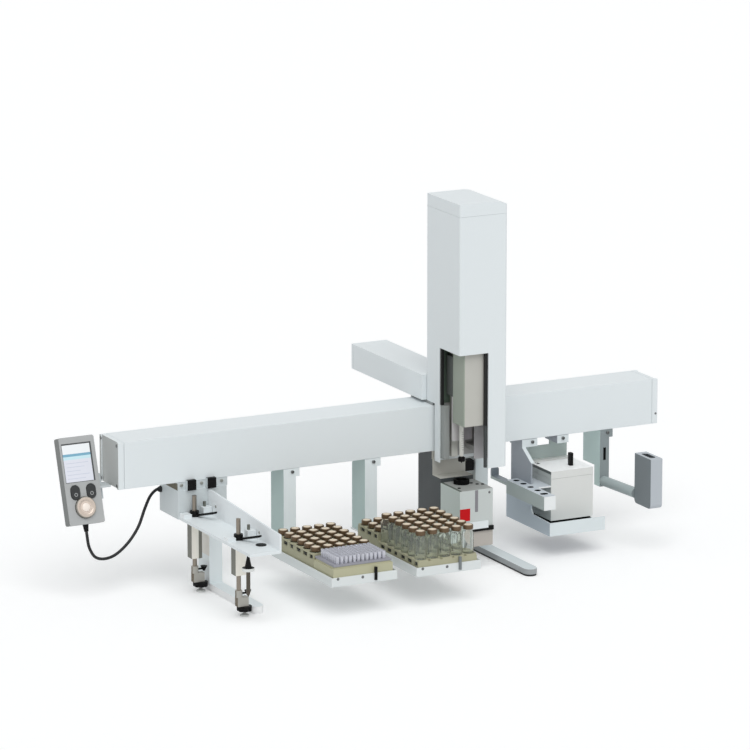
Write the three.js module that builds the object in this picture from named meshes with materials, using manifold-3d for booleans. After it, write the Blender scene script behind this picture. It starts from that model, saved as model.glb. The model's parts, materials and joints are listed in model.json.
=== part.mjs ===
// Bench autosampler: a long horizontal rail on two legs carries a tower with a syringe tool,
// and vial trays, a wash station, an oven, a reader and a hand terminal hang from the rail.
// Millimetres, +X along the rail, +Y to the back, +Z up. The rail's left, front, bottom corner is
// the reference while the pieces are laid out, and the last lines put the origin on the floor
// under the middle of the machine.
import * as THREE from "three";
import { mergeVertices } from "three/addons/utils/BufferGeometryUtils.js";
import Module from "manifold-3d";

const wasm = await Module();
wasm.setup();

// Clearances and overruns.
const seatGap = 0.3;
const slideGap = 0.5;
const boreGap = 0.3;
const cutOverrun = 5;

// Rail.
const railLength = 1200;
const railDepth = 88;
const railHeight = 93;
const coverWall = 3;
const railSlotBottom = 36;
const railSlotHeight = 20;
const capThickness = 13;
const capPocketDepth = 3;
const capRimWidth = 8;
const guideWidth = 20;
const guideHeight = 15;
const guideFront = 35;

// Belt drive of the rail.
const motorSide = 42;
const motorLength = 50;
const motorFront = 8;
const motorInset = 7;
const shaftRadius = 4;
const shaftEntry = 8;
const pulleyRadius = 19.5;
const pulleyWidth = 11;
const pulleyClearance = 5;
const beltThickness = 2;
const beltWidth = 9;
const idlerInset = 24;
const forkThickness = 6;
const forkHeight = 20;

// Carriage on the rail.
const carriageLength = 60;
const carriageDepth = 30;
const carriageLegDepth = 8;
const neckHeight = 16;
const rearPlate = 6;
const rearPlateGap = 3.5;
const topPlate = 4.7;
const topPlateFront = 2;
const topPlateGap = 0.7;
const lugTopGap = 0.3;

// Cross arm.
const armLeft = 676;
const armWidth = 80;
const armHeight = 52.3;
const armWall = 3;
const armBack = 341;
const armCapThickness = 9.7;
const armSlotWidth = 20;
const armGuideHeight = 15.5;
const runnerWidth = 52;
const runnerLength = 45;
const runnerFront = 40;
const runnerNeckWidth = 16;

// Tower.
const headLeft = 686;
const headWidth = 106;
const headFront = -111;
const headUpperBack = 30;
const headLowerBack = -6;
const headBottom = -18;
const headSeam = 493;
const headCapHeight = 25;
const headWall = 3;
const headEdgeRadius = 4;
const headRoundRadius = 6;
const capSlopeDrop = 10;
const capSlopeWidth = 30;
const windowTop = 216;
const windowWidth = 64.4;
const windowBack = -26;
const backPlateThickness = 6;
const backPlateTop = 470;
const backPlateBottom = -10;
const zGuideWidth = 14;
const zGuideDepth = 8;
const zGuideInset = 29;

// Lead screw and motor in the tower.
const screwRadius = 5;
const screwInset = 76;
const screwBottom = 4;
const screwTop = 448;
const screwEntry = 8;
const zMotorLength = 45;
const bearingHeight = 10;
const bearingWidth = 24;

// Carrier and syringe tool.
const carrierBottom = 120;
const carrierHeight = 80;
const carrierInset = 17;
const carrierWidth = 73;
const carrierDepth = 26;
const carrierLegDepth = 6;
const carrierLegWidth = 8;
const apronBottom = 29;
const apronThickness = 4;
const toolWidth = 46;
const toolDepth = 50;
const toolBottom = 68;
const toolHeight = 190;
const toolInset = 16;
const needleInset = 31;
const needleBack = 12;
const barrelRadius = 5;
const barrelBottom = 0;
const barrelBore = 2.6;
const plungerRadius = 2;
const plungerBottom = 8;
const plungerTop = 150;
const plungerBoreDepth = 140;
const plungerBoreGap = 0.6;
const needleGuideRadius = 7;
const needleGuideHeight = 10;
const needleTipLength = 3.5;
const needleTipRadius = 1;
const needleNeckRadius = 4;

// Clamps under the rail and the tray posts.
const clampDrop = 16;
const clampDepth = 52;
const postWall = 3;
const postDepth = 57;
const postWidth = 27;
const clampWidth = 35;
const traySpacing = 179;
const leftPostX = 355;

// Trays and racks.
const trayWidth = 141;
const trayBackLeft = -57;
const trayBackRight = -64;
const trayBottom = -154;
const trayRim = 18;
const trayWall = 3;
const trayOffset = 55;
const footprintWidth = 127.8;
const footprintDepth = 85.5;
const rackSideGap = 2.2;
const shortRackHeight = 42;
const tallRackHeight = 28;
const rackWall = 3;
const slotLength = 15;
const slotShift = 6;
const slotHeight = 8;
const slotDrop = 4;
const vialRadius = 11.2;
const capRadius = 10;
const capBand = 8;
const shortVialHeight = 52;
const tallVialHeight = 84;
const vialColumns = 5;
const vialRows = 3;
const vialPitchX = 26;
const vialPitchY = 28.5;
const vialSides = 8;
const vialNeckRadius = 7;
const vialShoulder = 4;
const adapterHeight = 34;
const adapterStep = 3;
const plateHeight = 18;
const plateInset = 2;
const wellColumns = 12;
const wellRows = 8;
const wellPitch = 9;
const wellRadius = 3.4;
const plateWellDepth = 10;
const wellSides = 5;
const latchWidth = 5;
const latchHeight = 26;
const latchThickness = 4;
const latchRise = 12.5;
const latchPlace = 91.5;

// Left bracket, arm and its two stand rods.
const bracketLeft = 125;
const bracketWidth = 105;
const bracketFront = -3;
const bracketDepth = 85;
const bracketHeight = 57;
const bracketWall = 3;
const webX = 190;
const webThickness = 4;
const webRearTop = -18.4;
const webFrontTop = -36.4;
const flangeBottom = -73;
const flangeThickness = 6;
const flangeLeft = 127;
const flangeHoleX = 176;
const flangeHoleInset = 52.3;
const flangeHoleRadius = 6;
const armReach = 317;
const sleeveWidth = 22;
const sleeveDepth = 20;
const collarHeight = 7;
const collarLength = 17;
const collarOffset = 27;
const standX = 155;
const rearRodY = -14;
const rearSleeveLength = 77;
const frontRodInset = 108.3;
const frontSleeveLength = 63;
const rodRadius = 4.4;
const rodTopRise = 42;
const jawLeft = 5;
const jawLength = 23;
const jawThickness = 13;
const jawHeight = 18;
const jawRadius = 7;
const jawCollarHeight = 14;
const jawTop = -181;
const footOffset = 12;
const footScrewRadius = 3;
const knobRadius = 16;
const knobHeight = 10;
const padRadius = 9;
const padHeight = 5;
const coneRadius = 7;
const coneTipRadius = 2;
const coneHeight = 10;
const pinRadius = 2;
const pinLength = 12;
const leverLength = 56;
const leverTurn = -67;
const leverSlope = 7;
const leverWidth = 7;
const leverThickness = 4;
const leverHubHeight = 11;
const leverHubRadius = 9;
const leverBoreGap = 0.4;
const spindleX = 138;
const spindleInset = 30.3;
const spindleRadius = 4;
const spindleNeckRadius = 2.5;
const spindleNeck = 6;
const spindleBottom = -158;
const spindleTip = 8;
const spindleConeRadius = 7;
const spindleConeHeight = 22;
const spindleRingRadius = 12;
const spindleRingHeight = 6;
const spindleArmWidth = 8;
const clampKnobSize = 19;
const clampKnobDepth = 9;
const clampKnobInset = 18;
const clampKnobPitch = 43;
const clampKnobRise = 4;

// Legs.
const floorDrop = 220;
const legWidth = 28;
const legDepth = 50;
const legLeftX = 184;
const legLeftFront = -19;
const legRightX = 784;
const legRightFront = 4;
const footFront = -213;
const footHeight = 11;
const footPadHeight = 4;
const footPadInset = 1;
const footEdge = 1;

// Wash station and its bracket.
const wellInset = 34;
const stationWidth = 74;
const stationFront = -120;
const stationDepth = 82;
const stationTop = -56;
const stationHeight = 116;
const wellBore = 11;
const wellDepth = 105;
const funnelRadius = 16;
const funnelHeight = 9;
const shelfDrop = 79;
const shelfHeight = 5;
const shelfDepth = 3;
const frameWall = 4;
const frameUpperDrop = 32;
const frameBack = 58;

// Tool park, oven and its holder.
const holderInset = 312.5;
const holderWidth = 126.5;
const holderFront = -117;
const holderBack = 65;
const holderBottom = -173;
const holderWall = 3;
const holderLipHeight = 27;
const holderShoulder = -40;
const holderNose = -38;
const holderFlange = 8;
const holderUpperBack = 46;
const holderUpperBottom = -100;
const holderPanelTop = -28;
const holderTabInset = 40;
const holderClampInset = 20;
const holderClampWidth = 26;
const holderRightHeight = 13;
const holderCurveTop = -134;
const holderCurveReach = 7;
const holderCurveRise = 2.5;
const parkWidth = 26;
const parkFront = -141;
const parkBack = 17;
const parkTop = -83;
const parkHeight = 28;
const parkLedgeBack = 16;
const parkLedgeThickness = 3;
const parkSlots = 5;
const parkSlotRadius = 6.5;
const parkEndSlotReach = 4;
const parkSlotPitch = 29.8;
const parkSlotFirst = -116.6;
const parkSlotInset = 15;
const parkSlotDepth = 22;
const parkTailWidth = 16.5;
const parkTailBack = 84;
const parkTailThickness = 6;
const parkHookHeight = 19;
const parkHookThickness = 5;
const ovenSetIn = 26.7;
const ovenWidth = 96.2;
const ovenFront = -67;
const ovenDepth = 83;
const ovenTop = -70;
const lidHeight = 15;
const lidKnobInset = 62;
const lidKnobY = -35;
const lidKnobWidth = 7;
const lidKnobDepth = 10;
const lidKnobHeight = 26;
const hingeRadius = 3;
const hingePinLength = 70;
const hingeSet = 5;
const lugWidth = 6;
const lugDepth = 15;
const lidNotch = 14;
const ovenWall = 8;
const ovenRoomDepth = 60;
const plinthHeight = 13.7;
const plinthInset = 4;

// Reader on the right post.
const readerPostInset = 133;
const readerPostWidth = 21;
const readerPostDepth = 70;
const readerLowerDepth = 23;
const readerFootHeight = 41;
const readerPostBottom = 118;
const readerArmRadius = 10.5;
const readerArmHeight = -107;
const readerArmShift = 9;
const readerShift = 15;
const readerWidth = 27;
const readerFront = -180;
const readerDepth = 66;
const readerTop = -23;
const readerHeight = 103;
const readerSlotWidth = 13;
const readerSlotLength = 40;
const readerSlotDepth = 70;
const readerEdge = 9;
const postSlotWidth = 6;
const postSlotHeight = 26;
const postSlotTop = -37;

// Hand terminal on the left end.
const terminalLeft = -99.3;
const terminalWidth = 74.3;
const terminalLength = 171;
const terminalThickness = 22;
const terminalTopY = 60;
const terminalTopZ = 101;
const terminalLean = 17.7;
const terminalEdge = 4;
const screenLeft = 9;
const screenWidth = 55.5;
const screenDrop = 15;
const screenHeight = 70;
const screenRecess = 2;
const screenEdge = 2;
const wheelRadius = 21;
const wheelDrop = 138.5;
const wheelProud = 6;
const wheelSink = 3;
const wheelDishRadius = 15;
const wheelDishDepth = 1.5;
const keyDrop = 108;
const keyLobe = 9.5;
const keySpread = 9;
const keyInset = 20.5;
const keyPitch = 33.3;
const keyProud = 2.5;
const keySink = 4;
const keyTravel = 1.5;
const reliefRadius = 6;
const reliefTipRadius = 4.2;
const reliefLength = 14;
const reliefInset = 11;
const holderBarThickness = 4;
const holderBarFront = 34;
const holderBarDepth = 30;
const cradleDrop = 75;
const cradleHeight = 50;
const cradleThickness = 3;
const cradleInset = 20;
const cradleOverlap = 12;
const holderBarBottom = -1;

// Cord of the hand terminal.
const cordDiameter = 6;
const cordSides = 8;
const cordSteps = 26;
const cordInset = 7;
const cordLead = 9;

// Shared colours of the finishes.
const panelWhite = 0xe4e9eb;
const panelGrey = 0xb9c2c4;
const darkGrey = 0x43484b;
const blackPlastic = 0x121314;
const steel = 0xb4b3ad;
const khaki = 0xaaa88c;
const capCream = 0xd9cdb4;
const parkBlue = 0x7d868f;
const terminalGrey = 0xa7a9a7;

const machine = new THREE.Group();

function finish(color, roughness, metalness) {
  return new THREE.MeshStandardMaterial({ color, roughness, metalness });
}

const coverPaint = () => finish(panelWhite, 0.45, 0);
const greyPaint = () => finish(panelGrey, 0.5, 0);
const darkPaint = () => finish(darkGrey, 0.5, 0);
const blackMoulding = () => finish(blackPlastic, 0.5, 0);
const bareSteel = () => finish(steel, 0.35, 1);

function assembly(x, y, z, parent = machine) {
  const group = new THREE.Group();
  group.position.set(x, y, z);
  parent.add(group);
  return group;
}

function piece(parent, name, geometry, material) {
  const mesh = new THREE.Mesh(geometry, material);
  mesh.name = name;
  parent.add(mesh);
  return mesh;
}

function block(x0, x1, y0, y1, z0, z1) {
  const geometry = new THREE.BoxGeometry(x1 - x0, y1 - y0, z1 - z0);
  return geometry.translate((x0 + x1) / 2, (y0 + y1) / 2, (z0 + z1) / 2);
}

function outline(points) {
  return new THREE.Shape(points.map(([u, v]) => new THREE.Vector2(u, v)));
}

function extrudeZ(shape, z0, z1, curveSegments = 8) {
  const geometry = new THREE.ExtrudeGeometry(shape, { depth: z1 - z0, bevelEnabled: false, curveSegments });
  return geometry.translate(0, 0, z0);
}

// An outline in the YZ plane, given as y and z, drawn out along X.
function extrudeX(shape, x0, x1, curveSegments = 8) {
  const geometry = extrudeZ(shape, x0, x1, curveSegments);
  const turn = new THREE.Matrix4();
  turn.makeBasis(new THREE.Vector3(0, 1, 0), new THREE.Vector3(0, 0, 1), new THREE.Vector3(1, 0, 0));
  return geometry.applyMatrix4(turn);
}

// An outline in the ZX plane, given as z and x, drawn out along Y.
function extrudeY(shape, y0, y1, curveSegments = 8) {
  const geometry = extrudeZ(shape, y0, y1, curveSegments);
  const turn = new THREE.Matrix4();
  turn.makeBasis(new THREE.Vector3(0, 0, 1), new THREE.Vector3(1, 0, 0), new THREE.Vector3(0, 1, 0));
  return geometry.applyMatrix4(turn);
}

function roundedOutline(x0, x1, y0, y1, frontLeft, frontRight, backRight, backLeft) {
  const shape = new THREE.Shape();
  shape.moveTo(x0 + frontLeft, y0);
  shape.lineTo(x1 - frontRight, y0);
  shape.absarc(x1 - frontRight, y0 + frontRight, frontRight, -Math.PI / 2, 0, false);
  shape.lineTo(x1, y1 - backRight);
  shape.absarc(x1 - backRight, y1 - backRight, backRight, 0, Math.PI / 2, false);
  shape.lineTo(x0 + backLeft, y1);
  shape.absarc(x0 + backLeft, y1 - backLeft, backLeft, Math.PI / 2, Math.PI, false);
  shape.lineTo(x0, y0 + frontLeft);
  shape.absarc(x0 + frontLeft, y0 + frontLeft, frontLeft, Math.PI, Math.PI * 1.5, false);
  return shape;
}

function evenOutline(x0, x1, y0, y1, radius) {
  return roundedOutline(x0, x1, y0, y1, radius, radius, radius, radius);
}

function rodZ(x, y, z0, z1, radius, sides = 16) {
  const geometry = new THREE.CylinderGeometry(radius, radius, z1 - z0, sides);
  return geometry.rotateX(Math.PI / 2).translate(x, y, (z0 + z1) / 2);
}

function rodY(x, z, y0, y1, radius, sides = 16) {
  const geometry = new THREE.CylinderGeometry(radius, radius, y1 - y0, sides);
  return geometry.translate(x, (y0 + y1) / 2, z);
}

function rodX(y, z, x0, x1, radius, sides = 16) {
  const geometry = new THREE.CylinderGeometry(radius, radius, x1 - x0, sides);
  return geometry.rotateZ(Math.PI / 2).translate((x0 + x1) / 2, y, z);
}

// A turned piece about a vertical axis: pairs of radius and height, from the bottom up.
function turnedZ(x, y, pairs, sides = 16) {
  const points = pairs.map(([radius, height]) => new THREE.Vector2(radius, height));
  return new THREE.LatheGeometry(points, sides).rotateX(Math.PI / 2).translate(x, y, 0);
}

function solidOf(geometry) {
  const bare = geometry.index ? geometry.toNonIndexed() : geometry.clone();
  bare.deleteAttribute("normal");
  bare.deleteAttribute("uv");
  const merged = mergeVertices(bare);
  const mesh = new wasm.Mesh({
    numProp: 3,
    vertProperties: new Float32Array(merged.attributes.position.array),
    triVerts: new Uint32Array(merged.index.array),
  });
  return new wasm.Manifold(mesh);
}

function geometryOf(solid) {
  const mesh = solid.getMesh();
  const geometry = new THREE.BufferGeometry();
  geometry.setAttribute("position", new THREE.BufferAttribute(new Float32Array(mesh.vertProperties), 3));
  geometry.setIndex(new THREE.BufferAttribute(new Uint32Array(mesh.triVerts), 1));
  const loose = geometry.toNonIndexed();
  loose.computeVertexNormals();
  return loose;
}

function joined(...geometries) {
  return geometryOf(geometries.map(solidOf).reduce((whole, next) => whole.add(next)));
}

function cut(geometry, ...tools) {
  return geometryOf(tools.map(solidOf).reduce((rest, tool) => rest.subtract(tool), solidOf(geometry)));
}

function kept(geometry, limit) {
  return geometryOf(solidOf(geometry).intersect(solidOf(limit)));
}

// Rail: an open C-section cover with a slot in its back wall, closed by two end caps.
const coverStart = capThickness + seatGap;
const coverEnd = railLength - coverStart;
const slotTop = railSlotBottom + railSlotHeight;
const innerBack = railDepth - coverWall;
const innerTop = railHeight - coverWall;
const guideBottom = coverWall + seatGap;
const guideTop = guideBottom + guideHeight;
const guideBack = guideFront + guideWidth;
const rail = assembly(0, 0, 0);

function railCover() {
  const section = outline([
    [0, 0], [railDepth, 0], [railDepth, railSlotBottom], [innerBack, railSlotBottom],
    [innerBack, coverWall], [coverWall, coverWall], [coverWall, innerTop], [innerBack, innerTop],
    [innerBack, slotTop], [railDepth, slotTop], [railDepth, railHeight], [0, railHeight],
  ]);
  return extrudeX(section, coverStart, coverEnd);
}

function endCap(x0, x1, pocketX0, pocketX1) {
  const plate = block(x0, x1, 0, railDepth, 0, railHeight);
  const pocket = block(pocketX0, pocketX1, capRimWidth, railDepth - capRimWidth, -cutOverrun,
    railHeight + cutOverrun);
  return cut(plate, pocket);
}

piece(rail, "rail_cover", railCover(), coverPaint());
piece(rail, "rail_end_cap_left", endCap(0, capThickness, -cutOverrun, capPocketDepth), greyPaint());
piece(rail, "rail_guide",
  block(coverStart, coverEnd, guideFront, guideBack, guideBottom, guideTop), bareSteel());

// Belt drive: a motor with a pulley at the left end, an idler on a fork of the right end cap.
const motorBottom = guideTop + seatGap;
const axisHeight = motorBottom + motorSide / 2;
const driveX = coverStart + motorInset + motorSide / 2;
const motorBack = motorFront + motorLength;
const idlerX = coverEnd - idlerInset;
const pulleyFront = motorBack + pulleyClearance;
const pulleyBack = pulleyFront + pulleyWidth;
const beltCentre = (pulleyFront + pulleyBack) / 2;
const beltInner = pulleyRadius + boreGap;
const forkFront = pulleyBack + seatGap;

function motorHousing(x, frontY, backY, axisZ, side) {
  const half = side / 2;
  const body = extrudeY(evenOutline(axisZ - half, axisZ + half, x - half, x + half, side / 12), frontY, backY, 3);
  return cut(body, rodY(x, axisZ, backY - shaftEntry - boreGap, backY + cutOverrun, shaftRadius + boreGap));
}

function drivePulley() {
  return joined(rodY(driveX, axisHeight, pulleyFront, pulleyBack, pulleyRadius, 24),
    rodY(driveX, axisHeight, motorBack - shaftEntry, pulleyFront + shaftRadius, shaftRadius));
}

function idlerPulley() {
  const wheel = rodY(idlerX, axisHeight, pulleyFront, pulleyBack, pulleyRadius, 24);
  return cut(wheel, rodY(idlerX, axisHeight, pulleyFront - cutOverrun, pulleyBack + cutOverrun,
    shaftRadius + boreGap));
}

function rightEndCap() {
  const cap = endCap(railLength - capThickness, railLength, railLength - capPocketDepth,
    railLength + cutOverrun);
  const fork = block(idlerX - forkHeight / 2, railLength - capThickness + capPocketDepth,
    forkFront, forkFront + forkThickness, axisHeight - forkHeight / 2, axisHeight + forkHeight / 2);
  const axle = rodY(idlerX, axisHeight, pulleyFront - boreGap, forkFront + forkThickness / 2, shaftRadius);
  return joined(cap, fork, axle);
}

function beltLoop(radius) {
  const shape = new THREE.Shape();
  shape.moveTo(axisHeight - radius, driveX);
  shape.lineTo(axisHeight - radius, idlerX);
  shape.absarc(axisHeight, idlerX, radius, Math.PI, 0, true);
  shape.lineTo(axisHeight + radius, driveX);
  shape.absarc(axisHeight, driveX, radius, 0, -Math.PI, true);
  return shape;
}

function driveBelt() {
  const y0 = beltCentre - beltWidth / 2;
  const y1 = beltCentre + beltWidth / 2;
  return cut(extrudeY(beltLoop(beltInner + beltThickness), y0, y1, 12),
    extrudeY(beltLoop(beltInner), y0 - cutOverrun, y1 + cutOverrun, 12));
}

piece(rail, "rail_end_cap_right", rightEndCap(), greyPaint());
piece(rail, "rail_motor", motorHousing(driveX, motorFront, motorBack, axisHeight, motorSide), darkPaint());
piece(rail, "rail_drive_pulley", drivePulley(), bareSteel());
piece(rail, "rail_idler_pulley", idlerPulley(), bareSteel());
piece(rail, "rail_belt", driveBelt(), blackMoulding());

// Carriage: it wraps the guide, leaves through the slot and reaches over the rail under the arm.
const armCentre = armLeft + armWidth / 2;
const armBottom = railHeight + topPlateGap + topPlate + seatGap;
const armTop = armBottom + armHeight;
const armFront = headUpperBack + seatGap;
const armEnd = armBack - armCapThickness - seatGap;
const armFloor = armBottom + armWall;
const armCeiling = armTop - armWall;
const armGuideBottom = armCeiling - seatGap - armGuideHeight;

function carriage() {
  const centreY = (guideFront + guideBack) / 2;
  const front = centreY - carriageDepth / 2;
  const back = centreY + carriageDepth / 2;
  const neckBottom = railSlotBottom + (railSlotHeight - neckHeight) / 2;
  const neckTop = neckBottom + neckHeight;
  const blockBottom = guideTop + slideGap;
  const plateInner = railDepth + rearPlateGap;
  const plateOuter = plateInner + rearPlate;
  const topLow = railHeight + topPlateGap;
  const topHigh = topLow + topPlate;
  const lugTop = axisHeight + beltInner - lugTopGap;
  const beltFront = beltCentre - beltWidth / 2;
  const beltBack = beltCentre + beltWidth / 2;
  const section = outline([
    [front, blockBottom - carriageLegDepth], [guideFront - slideGap, blockBottom - carriageLegDepth],
    [guideFront - slideGap, blockBottom], [guideBack + slideGap, blockBottom],
    [guideBack + slideGap, blockBottom - carriageLegDepth], [back, blockBottom - carriageLegDepth],
    [back, neckBottom], [plateOuter, neckBottom], [plateOuter, topHigh], [topPlateFront, topHigh],
    [topPlateFront, topLow], [plateInner, topLow], [plateInner, neckTop], [beltBack, neckTop],
    [beltBack, lugTop], [beltFront, lugTop], [beltFront, neckTop], [front, neckTop],
  ]);
  const body = extrudeX(section, armCentre - carriageLength / 2, armCentre + carriageLength / 2);
  const neck = block(armCentre - runnerNeckWidth / 2, armCentre + runnerNeckWidth / 2,
    runnerFront, runnerFront + runnerLength, topHigh - topPlate / 2, armFloor + slideGap + armWall);
  const runner = block(armCentre - runnerWidth / 2, armCentre + runnerWidth / 2,
    runnerFront, runnerFront + runnerLength, armFloor + slideGap, armGuideBottom - slideGap);
  return joined(body, neck, runner);
}

piece(rail, "rail_carriage", carriage(), darkPaint());

// Arm: a box section, slotted underneath for the runner, with a guide under its ceiling.
const arm = assembly(armCentre, 0, armBottom);

function armCover() {
  const half = armWidth / 2;
  const inner = half - armWall;
  const slot = armSlotWidth / 2;
  const height = armTop - armBottom;
  const section = outline([
    [0, -half], [height, -half], [height, half], [0, half], [0, slot], [armWall, slot],
    [armWall, inner], [height - armWall, inner], [height - armWall, -inner], [armWall, -inner],
    [armWall, -slot], [0, -slot],
  ]);
  return extrudeY(section, armFront, armEnd);
}

piece(arm, "arm_cover", armCover(), coverPaint());
piece(arm, "arm_end_cap",
  block(-armWidth / 2, armWidth / 2, armEnd + seatGap, armBack, 0, armTop - armBottom), coverPaint());
piece(arm, "arm_guide",
  block(-armSlotWidth / 2, armSlotWidth / 2, armFront + coverWall, armEnd - coverWall,
    armGuideBottom - armBottom, armCeiling - seatGap - armBottom), bareSteel());

// Tower: a tall shell, deeper above the rail than below, open at its front left corner.
const head = assembly(headLeft, 0, 0);
const overhang = armBottom;

function towerOutline(inset) {
  const round = headRoundRadius - inset;
  const edge = Math.max(headEdgeRadius - inset, headEdgeRadius / 4);
  return roundedOutline(inset, headWidth - inset, headFront + inset, headUpperBack - inset,
    edge, round, edge, edge);
}

function headShell() {
  const far = headWidth + cutOverrun;
  const outer = extrudeZ(towerOutline(0), headBottom, headSeam, 5);
  const upperRoom = extrudeZ(towerOutline(headWall), overhang + headWall, headSeam + cutOverrun, 5);
  const lowerRoom = kept(extrudeZ(towerOutline(headWall), headBottom - cutOverrun, overhang + headWall * 2, 5),
    block(-cutOverrun, far, headFront - cutOverrun, headLowerBack - headWall, headBottom - cutOverrun,
      overhang + headWall * 2));
  const railNotch = block(-cutOverrun, far, headLowerBack, headUpperBack + cutOverrun,
    headBottom - cutOverrun, overhang);
  const window = block(-cutOverrun, windowWidth, headFront - cutOverrun, windowBack,
    headBottom - cutOverrun, windowTop);
  return cut(outer, upperRoom, lowerRoom, railNotch, window);
}

function headCap() {
  const z0 = headSeam + seatGap;
  const z1 = headSeam + headCapHeight;
  const body = extrudeZ(towerOutline(0), z0, z1, 5);
  const room = extrudeZ(towerOutline(headWall), z0 - cutOverrun, z1 - capSlopeDrop - headWall, 5);
  const profile = new THREE.Shape();
  profile.moveTo(z0 - cutOverrun, -cutOverrun);
  profile.lineTo(z1, -cutOverrun);
  profile.lineTo(z1, headWidth - capSlopeWidth);
  profile.quadraticCurveTo(z1, headWidth - headEdgeRadius, z1 - capSlopeDrop, headWidth + seatGap);
  profile.lineTo(z0 - cutOverrun, headWidth + seatGap);
  const limit = extrudeY(profile, headFront - cutOverrun, headUpperBack + cutOverrun, 6);
  return cut(kept(body, limit), room);
}

// Inner back plate with the vertical guide and the screw's lower bearing on it.
const plateBackY = headLowerBack - headWall - seatGap;
const plateFrontY = plateBackY - backPlateThickness;
const zGuideFront = plateFrontY - zGuideDepth;
const screwY = plateFrontY - seatGap - motorSide / 2;
const zGuideCentre = zGuideInset + zGuideWidth / 2;

function backPlate() {
  const side = headWall + seatGap;
  const plate = block(side, headWidth - side, plateFrontY, plateBackY, backPlateBottom, backPlateTop);
  const guide = block(zGuideInset, zGuideInset + zGuideWidth, zGuideFront, plateFrontY + headWall,
    backPlateBottom, backPlateTop);
  const bearing = block(screwInset - bearingWidth / 2, screwInset + bearingWidth / 2,
    screwY - bearingWidth / 2, plateFrontY + headWall, screwBottom, screwBottom + bearingHeight);
  return cut(joined(plate, guide, bearing),
    rodZ(screwInset, screwY, screwBottom - cutOverrun, screwBottom + bearingHeight + cutOverrun,
      screwRadius + boreGap));
}

function towerMotor() {
  const half = motorSide / 2;
  const z0 = screwTop - screwEntry;
  const body = extrudeZ(evenOutline(screwInset - half, screwInset + half, screwY - half, screwY + half,
    motorSide / 12), z0, z0 + zMotorLength, 3);
  return cut(body, rodZ(screwInset, screwY, z0 - cutOverrun, screwTop + boreGap, screwRadius + boreGap));
}

piece(head, "tower_cover", headShell(), coverPaint());
piece(head, "tower_cap", headCap(), coverPaint());
piece(head, "tower_back_plate", backPlate(), darkPaint());
piece(head, "lead_screw", rodZ(screwInset, screwY, screwBottom, screwTop, screwRadius, 12), bareSteel());
piece(head, "tower_motor", towerMotor(), darkPaint());

// Carrier on the vertical guide, with the nut of the lead screw, and the syringe tool in front.
const toolCentreX = needleInset;
const carrierBack = zGuideFront - slideGap;
const carrierFront = carrierBack - carrierDepth;
const toolBack = carrierFront - seatGap;
const toolFront = toolBack - toolDepth;
const toolAxisY = toolBack - needleBack;

function carrier() {
  const z0 = carrierBottom;
  const z1 = carrierBottom + carrierHeight;
  const body = block(carrierInset, carrierInset + carrierWidth, carrierFront, carrierBack, z0, z1);
  const legBack = carrierBack + carrierLegDepth;
  const leftLegEnd = zGuideInset - slideGap;
  const rightLegStart = zGuideInset + zGuideWidth + slideGap;
  const leftLeg = block(leftLegEnd - carrierLegWidth, leftLegEnd, carrierBack - seatGap, legBack, z0, z1);
  const rightLeg = block(rightLegStart, rightLegStart + carrierLegWidth, carrierBack - seatGap, legBack,
    z0, z1);
  const apron = block(carrierInset, toolInset + toolWidth, carrierFront, carrierFront + apronThickness,
    apronBottom, z0 + seatGap);
  const nut = rodZ(screwInset, screwY, z0 - cutOverrun, z1 + cutOverrun, screwRadius + boreGap);
  return cut(joined(body, leftLeg, rightLeg, apron), nut);
}

function toolBody() {
  const body = extrudeZ(evenOutline(toolInset, toolInset + toolWidth, toolFront, toolBack, headEdgeRadius),
    toolBottom, toolBottom + toolHeight, 4);
  return cut(body, rodZ(toolCentreX, toolAxisY, toolBottom - cutOverrun, toolBottom + plungerBoreDepth,
    plungerRadius + plungerBoreGap));
}

function syringeBarrel() {
  const outer = rodZ(toolCentreX, toolAxisY, barrelBottom, toolBottom - seatGap, barrelRadius, 12);
  return cut(outer, rodZ(toolCentreX, toolAxisY, barrelBottom - cutOverrun, toolBottom + cutOverrun,
    barrelBore, 12));
}

function needleGuide() {
  const top = barrelBottom - seatGap;
  const shoulder = top - needleGuideHeight / 4;
  const bottom = top - needleGuideHeight;
  return turnedZ(toolCentreX, toolAxisY, [
    [0, bottom - needleTipLength], [needleTipRadius, bottom - needleTipLength],
    [needleTipRadius, bottom - seatGap], [needleGuideRadius, bottom], [needleGuideRadius, shoulder],
    [needleNeckRadius, top], [0, top],
  ], 12);
}

piece(head, "tool_carrier", carrier(), darkPaint());
piece(head, "tool_body", toolBody(), finish(0xb8b6b0, 0.45, 0));
piece(head, "syringe_barrel", syringeBarrel(), finish(0xdfe6e6, 0.1, 0));
piece(head, "syringe_plunger",
  rodZ(toolCentreX, toolAxisY, plungerBottom, plungerTop, plungerRadius, 10), bareSteel());
piece(head, "needle_guide", needleGuide(), blackMoulding());

// Tray posts: channels under the rail, each with a clamp block on top.
function clampBlock(x0, x1) {
  return block(x0, x1, 0, clampDepth, -clampDrop - seatGap, -seatGap);
}

function trayPost(x0) {
  const bottom = trayBottom + trayWall + seatGap;
  const section = outline([
    [x0, 0], [x0 + postWidth, 0], [x0 + postWidth, postDepth], [x0 + postWidth - postWall, postDepth],
    [x0 + postWidth - postWall, postWall], [x0 + postWall, postWall], [x0 + postWall, postDepth],
    [x0, postDepth],
  ]);
  return joined(extrudeZ(section, bottom, -clampDrop), clampBlock(x0, x0 + clampWidth));
}

// Trays: shallow dishes for three racks, with a tongue of floor running back under the post and a
// latch on the front wall.
const rackPitch = footprintDepth + seatGap;
const trayDepth = 3 * rackPitch + seatGap + 2 * trayWall;
const rackFloor = trayBottom + trayWall + seatGap;

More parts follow.
